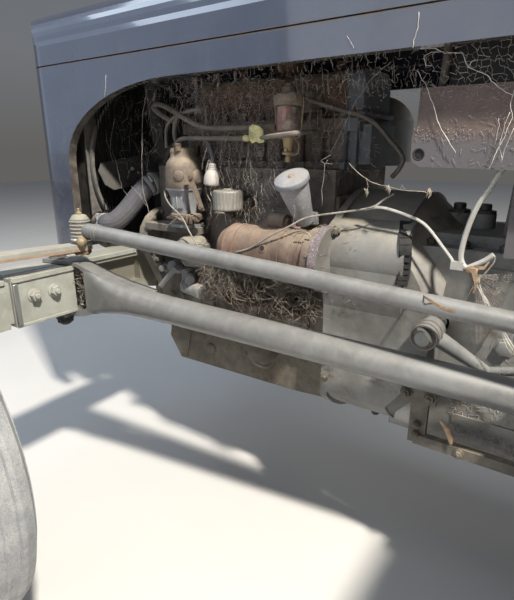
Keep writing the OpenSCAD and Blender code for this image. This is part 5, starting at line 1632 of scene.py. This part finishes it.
def caps(b):
    b.lathe((-90, 900, 1195), (0, 0, 1), [(-1, 32), (0, 36), (3, 38), (12, 38), (15, 35), (17, 26), (17.5, 4)], 40)
    for k in range(8):
        a = k * math.pi / 4
        b.block((-90 + 37 * math.cos(a) - 3, 900 + 37 * math.sin(a) - 3, 1197), (-90 + 37 * math.cos(a) + 3, 900 + 37 * math.sin(a) + 3, 1207), 1)


def tank_straps(b):
    for t in (800, 980):
        b.ribbon(smooth_path([(-206.5, t, 975), (-207.5, t, 1080), (-206, t, 1124), (-192, t, 1163), (-151, t, 1180), (-60, t, 1180.4), (2.0, t, 1180)], 4), 22, 2.2, (0, 1, 0))


one("tank_cap", "pale_metal", "chassis", caps)
one("tank_straps", "bolt_dark", "chassis", tank_straps)


def battery_bits(b):
    for t, r in ((790, 10.5), (980, 9.5)):
        b.lathe((150, t, 1175), (0, 0, 1), [(-6, r + 4), (-1, r + 4), (0, r), (3, r - 1), (3.6, 3)], 20)
        b.block((140, t - 14, 1165), (166, t + 14, 1172), 2)
        b.bolt((164, t, 1172), (0, 0, 1), 9, 5, 1)
    for i in range(6):
        b.lathe((60, 790 + i * 38, 1167.6), (0, 0, 1), [(-3, 12), (2, 12), (3, 10.5), (3.2, 3)], 24)
    b.ribbon([(98, 758, 1163.4), (98, 1012, 1163.4)], 20, 3, (1, 0, 0))


def battery_leads(b):
    b.tube(smooth_path([(150, 790, 1178), (168, 780, 1172), (190, 770, 1150), (196, 764, 1080), (192, 760, 1000), (180, 752, 975)], 6), 6.5, 12)
    b.tube(smooth_path([(150, 980, 1178), (166, 1000, 1170), (180, 1016, 1140), (176, 1020, 1060), (150, 1024, 975)], 6), 6.5, 12)


one("battery_caps", "black_metal", "chassis", battery_bits)
one("battery_leads", "cable_dark", "chassis", battery_leads)


# ---------------------------------------------------------------- wheels and tyres
def rear_lugs(b):
    # chevron bars on the rear tyre
    cx_, ct, cz = 711, 1830, 636
    n = 21
    for side_ in (-1, 1):
        for i in range(n):
            a0 = 2 * math.pi * (i + (0.5 if side_ > 0 else 0)) / n
            R = []
            for k in range(9):
                f = k / 8
                x = side_ * (-7 + f * 128)
                ang = a0 - 0.30 * f ** 1.15
                # the bar follows the tyre's round shoulder
                ro = 635.2 - (0 if abs(x) < 92 else (abs(x) - 92) ** 2 * 0.0205)
                ri = ro - 30 + 8 * f
                hw = 17 + 4 * f
                da = hw / 620
                ring = []
                for rr, da_ in ((ri, -1.35), (ro - 3, -1.0), (ro, -0.86), (ro, 0.86), (ro - 3, 1.0), (ri, 1.35)):
                    q = ang + da * da_
                    ring.append(Vector((cx_ + x, ct + rr * math.sin(q), cz + rr * math.cos(q))))
                R.append(ring)
            b.rings(R)


def rear_carcass(b):
    cx_, ct, cz = 711, 1830, 636
    w = 142
    prof = [(357, -83), (357, -117), (368, -120), (373, -117), (378, -w + 12), (388, -w + 8), (400, -w + 4), (412, -w + 3.4), (414, -w + 1.8), (450, -w), (486, -w - 0.5), (489, -w + 1.6), (520, -w), (552, -w + 1), (580, -w + 5), (596, -w + 12), (606, -w + 24), (610, -w + 48), (612, -40), (613, 0)]
    full = prof + [(r, -x) for r, x in prof[-2::-1]]
    n = 128
    v, f = [], []
    m = len(full)
    for k in range(n):
        q = 2 * math.pi * k / n
        for r, x in full:
            v.append((cx_ + x, ct + r * math.sin(q), cz + r * math.cos(q)))
    for k in range(n):
        l = (k + 1) % n
        for j in range(m):
            i = (j + 1) % m
            f.append((k * m + j, l * m + j, l * m + i, k * m + i))
    b.add(v, f)


for sd in ("left", "right"):
    b = Build()
    rear_carcass(b)
    if sd == "right":
        b.v = [(-x, y, z) for x, y, z in b.v]
    o = b.emit("rear_tyre_carcass_" + sd, "tyre", "rear_wheel_" + sd, smooth=50)
    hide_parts("rear_tyre_" + sd)
pair("rear_tyre_lugs", "lug", "rear_wheel", rear_lugs)


def rear_wheel_bolts(b):
    for k in range(8):
        a = math.radians(22.5 + 45 * k)
        b.bolt((711 - 56, 1830 + 296 * math.sin(a), 636 + 296 * math.cos(a)), (1, 0, 0), 24, 13, 3, 6, rot=a)
    for k in range(6):
        a = math.radians(30 + 60 * k)
        b.bolt((711 - 118 + 1.5, 1830 + 96 * math.sin(a), 636 + 96 * math.cos(a)), (1, 0, 0), 24, 14, 3, 8, rot=a)
    b.lathe((711 - 84, 1830, 636), (1, 0, 0), [(-1, 60), (2, 62), (8, 58), (16, 40), (18, 38), (18.5, 22), (30, 20), (31, 6)], 40)


def front_wheel_bolts(b):
    for k in range(5):
        a = math.radians(72 * k)
        b.bolt((776 - 18, 0 + 60 * math.sin(a), 365 + 60 * math.cos(a)), (1, 0, 0), 19, 11, 2.5, 5, rot=a)
    b.lathe((776 + 40, 0, 365), (1, 0, 0), [(-2, 30), (0, 32), (3, 32), (9, 28), (16, 20), (18, 16), (18.6, 3)], 36)
    b.tube([(776 - 40, 0 - 178, 365 + 60), (776 - 20, -184, 365 + 62), (776 - 4, -182, 365 + 61)], 4, 10)


pair("rear_wheel_bolts", "bolt", "rear_wheel", rear_wheel_bolts)
pair("front_wheel_bolts", "bolt", "front_wheel", front_wheel_bolts)


def front_ribs(b):
    # side rings moulded on the front tyre's wall
    for r, w in ((250, 73.4), (292, 74.6), (334, 62)):
        b.torus((776 + w - 0.6, 0, 365), (1, 0, 0), r, 1.8, 96, 8)
        b.torus((776 - w + 0.6, 0, 365), (1, 0, 0), r, 1.8, 96, 8)


pair("front_tyre_rings", "tyre_front", "front_wheel", front_ribs)


# ---------------------------------------------------------------- rear: fender rivets
def fender_bits(b):
    for k in range(9):
        a = math.radians(-62 + k * 15.5)
        b.lathe((412, 1830 + 640 * math.sin(a), 636 + 640 * math.cos(a)), (-1, 0, 0), [(0, 8), (2, 7.4), (3.6, 4.6), (4, 1.5)], 16)


pair("fender_rivets", "sheet_paint", "chassis", fender_bits)




# ---------------------------------------------------------------- cobwebs, straw and dry stems
def strand(b, pts, r, seed=0, jit=1.2, n=3, sides=4):
    """A thread through points in mm, with small kinks."""
    rg = random.Random(seed)
    q = []
    for i in range(len(pts) - 1):
        for k in range(n):
            t = k / n
            p = pts[i].lerp(pts[i + 1], t)
            if i or k:
                p = p + Vector((rg.uniform(-jit, jit), rg.uniform(-jit, jit), rg.uniform(-jit, jit)))
            q.append(p)
    q.append(pts[-1])
    rr = [r * 0.62 * rg.uniform(0.75, 1.25) for _ in q]
    b.tube(q, rr, sides)


def net(b, corners, cell, to3d, r, seed, keep=0.8, fade=None):
    """A cracked-looking net of threads over a region of the picture, laid on a surface by to3d."""
    rg = random.Random(seed)
    x0, y0, x1, y1 = corners
    h = cell * 0.5774
    corner, edges = {}, set()
    for j in range(-1, int((y1 - y0) / (h * 1.5)) + 2):
        for i in range(-1, int((x1 - x0) / cell) + 2):
            cx_, cy_ = x0 + (i + (0.5 if j % 2 else 0)) * cell, y0 + j * h * 1.5
            ks = []
            for k in range(6):
                a = math.radians(30 + 60 * k)
                q = (round((cx_ + h * math.cos(a)) * 4), round((cy_ + h * math.sin(a)) * 4))
                # a neighbour's corner can round one step away
                for dx in (-1, 0, 1):
                    for dy in (-1, 0, 1):
                        if (q[0] + dx, q[1] + dy) in corner:
                            q = (q[0] + dx, q[1] + dy)
                if q not in corner:
                    corner[q] = (q[0] / 4 + rg.uniform(-0.42, 0.42) * cell, q[1] / 4 + rg.uniform(-0.42, 0.42) * cell)
                ks.append(q)
            for k in range(6):
                edges.add(tuple(sorted((ks[k], ks[(k + 1) % 6]))))
    for e in sorted(edges):
        a, c = corner[e[0]], corner[e[1]]
        if rg.random() > keep or (fade and rg.random() > fade((a[0] + c[0]) / 2, (a[1] + c[1]) / 2)):
            continue
        m = []
        for k in range(4):
            t = k / 3
            jx = rg.uniform(-0.10, 0.10) * cell if 0 < k < 3 else 0
            jy = rg.uniform(-0.10, 0.10) * cell if 0 < k < 3 else 0
            m.append(to3d(a[0] + (c[0] - a[0]) * t + jx, a[1] + (c[1] - a[1]) * t + jy))
        if any(p is None for p in m):
            continue
        b.tube(m, r * rg.uniform(0.55, 1.5), 3)


def inside(px, py, poly):
    c = False
    for i in range(len(poly)):
        x0, y0 = poly[i]
        x1, y1 = poly[i - 1]
        if (y0 > py) != (y1 > py) and px < (x1 - x0) * (py - y0) / (y1 - y0) + x0:
            c = not c
    return c


PLATE_X = 221.0


def plate_pt(px, py):
    p = back(px, py, x=PLATE_X)
    if p.y < 730 or p.y > 1032 or p.z < 862:
        return None
    if p.z > 980:
        # in front of the battery: a curtain that hangs from the bonnet's edge
        return back(px, py, x=225)
    return back(px, py, x=221.2)


def webs_plate(b):
    net(b, (424, 44, 516, 100), 7.5, plate_pt, 0.30, 21, 0.80, lambda x, y: 1.0 if y < 96 else 0.3)
    net(b, (426, 96, 516, 150), 7.5, plate_pt, 0.24, 22, 0.66, lambda x, y: max(0.0, 0.95 - (y - 96) / 60) * (0.45 if x < 450 else 1.0))


def webs_plate_low(b):
    net(b, (440, 100, 516, 162), 6.0, plate_pt, 0.20, 23, 0.5, lambda x, y: 0.5 if x > 470 else 0.25)


one("web_plate", "web", "chassis", webs_plate, smooth=180)
one("web_plate_fine", "web_dim", "chassis", webs_plate_low, smooth=180)


def px_line(pts, x=None, lift=1.0):
    out = []
    for p in pts:
        if len(p) == 3:
            out.append(back(p[0], p[1], x=p[2]))
        elif x is not None:
            out.append(back(p[0], p[1], x=x))
        else:
            h = hit(*p, lift=lift)
            out.append(h[0] if h else back(p[0], p[1], x=200))
    return out


def web_strands(b):
    S = [
        ([(413, 48), (436, 49), (444, 53), (463, 53.5), (468, 67), (478, 71), (488, 76), (494, 83), (503, 90), (513, 95)], 226, 0.95),
        ([(424, 56), (426, 66), (432, 65)], 226, 0.8), ([(424, 56), (432, 52), (441, 52)], 226, 0.7), ([(468, 67), (472, 61), (476, 60)], 226, 0.8),
        ([(417, 70), (423, 80), (429, 92), (434, 108), (439, 125), (448, 140), (456, 153)], 226, 0.85),
        ([(514, 90), (511, 104), (512, 118), (505, 135), (497, 150), (489, 169)], 228, 0.8),
        ([(510, 112), (503, 130), (499, 150), (503, 160)], 228, 0.55), ([(514, 128), (506, 146), (501, 163)], 228, 0.5), ([(499, 118), (499, 128), (495, 145)], 228, 0.6),
    ]
    for i, (p, x, r) in enumerate(S):
        strand(b, px_line(p, x), r, 40 + i, 0.9)


def web_strands_bonnet(b):
    # threads that run up over the bonnet's side
    for i, (p, r) in enumerate((([(419, 12), (418, 28), (414, 40), (413, 48)], 0.8), ([(347, 36), (352, 44), (354, 48)], 0.5), ([(106, 75), (105.5, 88), (104.5, 97)], 0.6))):
        strand(b, px_line(p, 261.2), r, 60 + i, 0.5)


def web_inner(b):
    S = [
        # (points, x, radius)
        ([(391, 62), (380, 71), (370, 81), (357, 99), (350, 113), (345, 125), (338, 138), (331, 152)], 205, 0.62),
        ([(145, 86), (146, 96), (143, 112), (142, 130), (142, 150), (142, 172), (142.5, 186), (145, 200), (151, 217)], 214, 0.70),
        ([(196.5, 78), (196, 92), (196, 108), (195.5, 120)], 210, 0.55),
        ([(205, 108), (206, 118), (206, 127), (212, 127)], 214, 0.7),
        ([(187, 80), (187, 92), (183, 102), (180, 112)], 212, 0.55),
        ([(246, 78), (252, 84), (250, 92), (246, 97)], 214, 0.6), ([(242, 74), (248, 80), (256, 78)], 214, 0.6),
        ([(246, 96), (253, 97), (257, 101)], 214, 0.8),
        ([(115, 118), (112, 132), (110, 150), (113, 163)], 180, 0.45), ([(112, 152), (117, 165), (119, 175), (122, 188), (128, 196)], 190, 0.4),
        ([(131, 186), (140, 195), (148, 208)], 222, 0.4),
        ([(358, 60), (359, 72), (358, 86)], 214, 0.5), ([(356, 100), (358, 120), (360, 140)], 190, 0.35),
        ([(202, 170), (203, 160), (207, 148)], 222, 0.5),
        ([(220, 216), (224, 208), (228, 200)], 214, 0.4), ([(214, 222), (218, 214), (219, 206)], 218, 0.4),
        ([(294, 205), (295, 214), (293, 222), (297, 230)], 236, 0.5),
        ([(322, 206), (322, 190), (324, 176), (325, 164), (328, 160)], 205, 0.75),
        ([(325, 164), (321, 161), (326, 158), (331, 155)], 205, 0.7), ([(326, 163), (332, 164)], 205, 0.6),
    ]
    for i, (p, x, r) in enumerate(S):
        strand(b, px_line(p, x), r, 80 + i, 0.8)


one("web_strands", "web_pale", "chassis", web_strands, smooth=180)
one("web_on_bonnet", "web_pale", "bonnet", web_strands_bonnet, smooth=180)
one("web_inner_strands", "web", "chassis", web_inner, smooth=180)


def curtain(b):
    # fine dusty threads spun across the rocker cover, the head and the block
    rg = random.Random(7)
    def at(x0, dx, seed):
        ph = seed * 1.7
        return lambda px, py: back(px, py, x=x0 + dx * math.sin(px * 0.13 + ph) * math.cos(py * 0.17 + ph) + rg.uniform(-1.5, 1.5))
    net(b, (190, 84, 276, 128), 3.6, at(148, 14, 1), 0.22, 71, 0.62)
    net(b, (196, 84, 262, 140), 6.5, at(162, 12, 2), 0.34, 72, 0.55)
    net(b, (206, 128, 278, 168), 4.2, at(172, 12, 3), 0.22, 73, 0.55)
    net(b, (212, 150, 274, 222), 5.2, at(182, 12, 4), 0.24, 74, 0.42)
    net(b, (150, 84, 200, 112), 4.6, at(160, 16, 5), 0.22, 75, 0.45)
    net(b, (84, 100, 150, 196), 7.0, at(140, 40, 6), 0.24, 76, 0.30)
    net(b, (276, 84, 372, 176), 6.5, at(160, 18, 7), 0.22, 77, 0.30)
    net(b, (176, 64, 424, 90), 5.0, at(215, 14, 8), 0.26, 78, 0.35)
    def region(n, x0, y0, x1, y1, xs, l0, l1, r0, r1):
        for _ in range(n):
            px, py = rg.uniform(x0, x1), rg.uniform(y0, y1)
            x = rg.uniform(*xs)
            L = rg.uniform(l0, l1)
            m = rg.randint(3, 5)
            pts = []
            ang = rg.gauss(0, 0.30)
            for k in range(m + 1):
                t = k / m
                pts.append(back(px + math.sin(ang) * L * t + rg.uniform(-0.9, 0.9), py + math.cos(ang) * L * t, x=x + rg.uniform(-2, 2)))
            b.tube(pts, rg.uniform(r0, r1), 3)
    region(150, 196, 84, 276, 136, (130, 168), 6, 26, 0.18, 0.36)
    region(60, 150, 84, 206, 130, (150, 200), 6, 22, 0.18, 0.32)
    region(90, 208, 134, 280, 180, (160, 205), 6, 22, 0.18, 0.32)
    region(50, 208, 176, 270, 216, (165, 214), 6, 20, 0.18, 0.30)
    region(60, 84, 100, 150, 170, (90, 190), 6, 30, 0.18, 0.30)
    region(60, 276, 84, 372, 150, (130, 190), 6, 26, 0.18, 0.30)
    region(60, 268, 60, 420, 80, (190, 235), 6, 22, 0.22, 0.38)


one("web_curtain", "web", "chassis", curtain, smooth=180)


def specks(b):
    # dust crumbs and seed husks caught in the webs
    rg = random.Random(9)
    def region(n, x0, y0, x1, y1, xs, r0, r1):
        for _ in range(n):
            p = back(rg.uniform(x0, x1), rg.uniform(y0, y1), x=rg.uniform(*xs))
            r = rg.uniform(r0, r1)
            d = Vector((rg.uniform(-1, 1), rg.uniform(-1, 1), rg.uniform(-1, 1)))
            b.lathe(p, d, [(-r * 1.4, r * 0.2), (-r * 0.5, r), (r * 0.6, r * 0.9), (r * 1.5, r * 0.15)], 5)
    region(520, 200, 82, 276, 142, (130, 170), 0.35, 0.8)
    region(160, 206, 140, 290, 190, (165, 205), 0.3, 0.7)
    region(130, 88, 98, 150, 200, (100, 190), 0.3, 0.7)
    region(70, 436, 128, 470, 142, (221, 221.6), 0.3, 0.6)
    region(55, 414, 128, 432, 142, (221, 221.6), 0.3, 0.6)
    region(110, 276, 84, 372, 175, (130, 190), 0.3, 0.65)


one("web_specks", "web", "chassis", specks, smooth=180)


def straw(b, n, box_, xs, r0, r1, l0, l1, seed):
    rg = random.Random(seed)
    poly = box_
    bx = [p[0] for p in poly]
    by = [p[1] for p in poly]
    k = 0
    while k < n:
        px, py = rg.uniform(min(bx), max(bx)), rg.uniform(min(by), max(by))
        if not inside(px, py, poly):
            continue
        k += 1
        x = rg.uniform(*xs)
        c = back(px, py, x=x)
        d = Vector((rg.uniform(-0.7, 0.7), rg.gauss(0, 1), rg.gauss(0, 0.8))).normalized()
        e = d.orthogonal().normalized()
        e.rotate(Quaternion(d, rg.uniform(0, 6.28)))
        L = rg.uniform(l0, l1)
        bend = rg.uniform(-1.0, 1.0) * L
        pts = []
        for i in range(6):
            t = i / 5 - 0.5
            pts.append(c + d * L * t + e * bend * (0.25 - t * t) * 2 + Vector((rg.uniform(-0.8, 0.8), rg.uniform(-0.8, 0.8), rg.uniform(-0.8, 0.8))))
        # keep the fibres out of the rods in front and off the floor
        if any(p.x > 262 or p.z < 436 for p in pts):
            continue
        b.tube(pts, [rg.uniform(r0, r1) * (0.6 if i in (0, 5) else 1) for i in range(6)], 4)


NEST = [(200, 262), (224, 254), (246, 264), (300, 278), (312, 290), (318, 322), (296, 324), (262, 312), (226, 302), (204, 296)]


def nest_pale(b):
    straw(b, 330, NEST, (190, 238), 0.20, 0.42, 14, 62, 31)
    straw(b, 120, [(198, 268), (232, 264), (240, 290), (206, 298)], (196, 242), 0.20, 0.40, 12, 44, 32)


def nest_dark(b):
    straw(b, 300, NEST, (160, 222), 0.4, 0.9, 16, 60, 33)


one("nest_pale", "straw", "chassis", nest_pale, smooth=180)
one("nest_dark", "straw_dark", "chassis", nest_dark, smooth=180)


def nest_mass(b):
    # matted dust and fibre that the straw sits in, on the block's side
    rg = random.Random(44)
    for i in range(26):
        px = 226 + i * 3.2 + rg.uniform(-3, 3)
        py = 292 + i * 0.75 + rg.uniform(-9, 9)
        p = back(px, py, x=rg.uniform(158, 186))
        r = rg.uniform(9, 17)
        b.lathe(p, (rg.uniform(-1, 1), rg.uniform(-1, 1), rg.uniform(-1, 1)), [(-r, r * 0.2), (-r * 0.6, r * 0.7), (0, r * rg.uniform(0.8, 1.1)), (r * 0.5, r * 0.8), (r, r * 0.2)], 9)


one("nest_mat", "nest", "chassis", nest_mass, smooth=180)


def fork_web(b):
    rg = random.Random(51)
    f = Vector((math.sin(math.atan2(RD.x, RD.y)), math.cos(math.atan2(RD.x, RD.y)), 0))
    w = Vector((f.y, -f.x, 0))
    a = Vector((397, -20, 0))
    for _ in range(210):
        u = rg.uniform(66, 108)
        zz = rg.uniform(542, 634)
        if (u - 58) ** 2 + (zz - 588) ** 2 > 52 ** 2:
            continue
        c = a + f * u + w * rg.uniform(-18, 20)
        c.z = zz
        d = Vector((rg.gauss(0, 1), rg.gauss(0, 1), rg.gauss(0, 1.2))).normalized()
        L = rg.uniform(8, 30)
        pts = [c + d * L * t + Vector((rg.uniform(-1.6, 1.6), rg.uniform(-1.6, 1.6), rg.uniform(-1.6, 1.6))) for t in (-0.5, -0.2, 0.15, 0.5)]
        b.tube(pts, rg.uniform(0.25, 0.55), 3)


def fork_mat(b):
    rg = random.Random(52)
    a = Vector((397, -20, 0))
    f = Vector((math.sin(math.atan2(RD.x, RD.y)), math.cos(math.atan2(RD.x, RD.y)), 0))
    w = Vector((f.y, -f.x, 0))
    for _ in range(34):
        u, zz = rg.uniform(66, 96), rg.uniform(548, 626)
        if (u - 58) ** 2 + (zz - 588) ** 2 > 44 ** 2:
            continue
        c = a + f * u + w * rg.uniform(-16, 10)
        c.z = zz
        r = rg.uniform(5, 10)
        b.lathe(c, (rg.uniform(-1, 1), rg.uniform(-1, 1), rg.uniform(-1, 1)), [(-r, r * 0.2), (-r * 0.5, r * 0.8), (r * 0.3, r), (r, r * 0.2)], 8)


one("fork_web", "web", "chassis", fork_web, smooth=180)
one("fork_nest", "nest", "chassis", fork_mat, smooth=180)


def cone_web(b):
    # the web that hangs from the clip's knot to the gearbox side and the radius rod
    rg = random.Random(61)
    k = back(475, 275, x=203)
    for i in range(90):
        t = i / 89
        e = (476 + 42 * t, 354 - 84 * t ** 1.2)
        h = hit(e[0] if e[0] < 513 else 513, e[1], skip=("drag_link_left", "pipes_and_cable", "battery_box"))
        q = h[0] + h[1] * 1.0 if h else back(e[0], e[1], x=160)
        strand(b, [k + Vector((rg.uniform(-3, 3), rg.uniform(-3, 3), rg.uniform(-4, 4))), k.lerp(q, 0.5) + Vector((0, 0, -3)), q], rg.uniform(0.14, 0.34), 300 + i, 0.8, 3, 3)
    # crossing threads
    for i in range(190):
        a0, a1 = rg.uniform(0, 1), rg.uniform(0.25, 0.98)
        e = (478 + 36 * a0, 352 - 78 * a0 ** 1.2)
        q = back(e[0], e[1], x=165)
        p0 = k.lerp(q, a1)
        a0 = min(1, a0 + rg.uniform(0.06, 0.2))
        e = (478 + 36 * a0, 352 - 78 * a0 ** 1.2)
        q = back(e[0], e[1], x=165)
        p1 = k.lerp(q, a1 * rg.uniform(0.9, 1.05))
        strand(b, [p0, p1], rg.uniform(0.14, 0.28), 400 + i, 0.8, 3, 3)


def cone_edge(b):
    k = back(476, 281, x=205)
    h = back(514, 354, x=205)
    for i in range(7):
        strand(b, [k + Vector((0, i * 0.7 - 2, i % 3 - 1)), k.lerp(h, 0.4) + Vector((0, i - 3, -2)), h + Vector((0, i * 1.2 - 3, i - 3))], 0.5, 500 + i, 1.0, 5, 3)


one("web_cone", "web", "chassis", cone_web, smooth=180)
one("web_cone_edge", "web_pale", "chassis", cone_edge, smooth=180)


def gearbox_net(b):
    def on_box(px, py):
        h = hit(px, py, skip=("drag_link_left", "pipes_and_cable", "radius_rods", "footrests"), lift=1.0)
        return h[0] if h and h[2] in ("gearbox_case", "pedals", "steering_box") else None
    net(b, (458, 398, 512, 450), 6.0, on_box, 0.42, 71, 0.75, lambda x, y: 1.0 if (y - 395) > (x - 460) * 0.3 - 4 else 0.4)
    net(b, (486, 322, 512, 372), 7.0, on_box, 0.30, 72, 0.5, lambda x, y: 0.6)
    net(b, (330, 240, 345, 300), 7.0, on_box, 0.25, 73, 0.4, lambda x, y: 0.5)


one("web_gearbox", "web", "chassis", gearbox_net, smooth=180)


def bonnet_edge_web(b):
    # wisps that hang from the opening's upper edge
    rg = random.Random(81)
    for _ in range(80):
        px = rg.uniform(150, 430)
        # the edge in the picture
        py = 84 - (px - 150) * 0.155 + (10 if px < 190 else 0) * (190 - px) / 40
        x = rg.uniform(236, 254)
        L = rg.uniform(3, 15)
        pts = [back(px + rg.uniform(-2, 2) * t, py + L * t, x=x + rg.uniform(-1, 1)) for t in (0, 0.35, 0.7, 1)]
        b.tube(pts, rg.uniform(0.22, 0.5), 3)


one("web_under_edge", "web", "bonnet", bonnet_edge_web, smooth=180)


def stems(b):
    # dry grass stems with seed heads caught on the cable and against the bell
    S = [([(349, 163), (357, 172), (364, 177), (369, 181), (378, 184.5), (388, 186.5), (400, 190), (413, 191), (422, 191.5), (431, 194)], 214, 1.15),
         ([(366, 178), (368, 186), (366, 195)], 214, 0.9), ([(386, 186), (389, 190)], 214, 1.2), ([(400, 190), (402, 185), (405, 190)], 214, 0.8),
         ([(428, 192), (430, 195), (432, 191)], 214, 1.0),
         ([(473, 287), (470, 292), (466, 299), (463, 303)], 236, 0.9)]
    for i, (p, x, r) in enumerate(S):
        strand(b, px_line(p, x), r, 600 + i, 0.5, 3, 6)
    rg = random.Random(91)
    for cx_, cy_, n in ((366.5, 192, 7), (388.5, 189, 6), (429, 193, 7), (478, 283, 6)):
        for k in range(n):
            p = back(cx_ + rg.uniform(-1.6, 1.6), cy_ + rg.uniform(-3, 3), x=214 + rg.uniform(-1, 2))
            d = Vector((rg.uniform(-0.5, 0.5), rg.uniform(-0.6, 0.6), -1))
            b.lathe(p, d, [(-4, 0.4), (-2, 1.5), (1, 1.7), (4, 0.8), (7, 0.2)], 6)


one("dry_stems", "straw", "chassis", stems, smooth=180)


def leaf_on_rod(b):
    # a dry leaf blade lying along the drag link, and one by the footrest
    pts = px_line([(417, 291), (424, 297), (434, 303), (444, 308), (455, 311)], lift=1.2)
    b.ribbon(smooth_path(pts, 4), 4.5, 0.7, Vector((0.2, 0, 1)))


one("leaf_on_link", "leaf", "drag_link_left", leaf_on_rod)


def leaf_low(b):
    pts = [back(440, 420, x=206), back(446, 428, x=209), back(450, 437, x=211), back(451, 445, x=211)]
    b.ribbon(smooth_path(pts, 4), [3 + 8 * math.sin(math.pi * i / 12) for i in range(13)], 0.8, (0, 1, 0.2))


one("leaf_low", "leaf", "chassis", leaf_low, smooth=180)


def clip_knot(b):
    p = back(472, 270, x=203)
    b.block(p + Vector((-5, -9, -5)), p + Vector((5, 9, 5)), 2)
    b.ribbon([back(468, 268, x=207), back(474, 272, x=208), back(477, 283, x=208), back(473, 293, x=207)], [5, 8, 8, 3], 1.2, (0, 1, 0))
    b.ribbon([back(470, 268, x=205), back(484, 268, x=206), back(489, 262, x=206)], [6, 5, 2], 1.0, (0, 0.3, 1))


one("cable_clip", "leaf", "chassis", clip_knot)


def cable_loop_tail(b):
    p = [back(489, 256, x=200), back(494, 256, x=200), back(494, 262, x=201), back(488, 270, x=203), back(481, 278, x=204)]
    b.tube(smooth_path(p, 5), 1.3, 8)


one("cable_loop_tail", "cable_pale", "chassis", cable_loop_tail)


def ribs_dark(b):
    dark_ribs(b)


one("bell_slot", "slot_painted_shade", "chassis", ribs_dark, smooth=60)
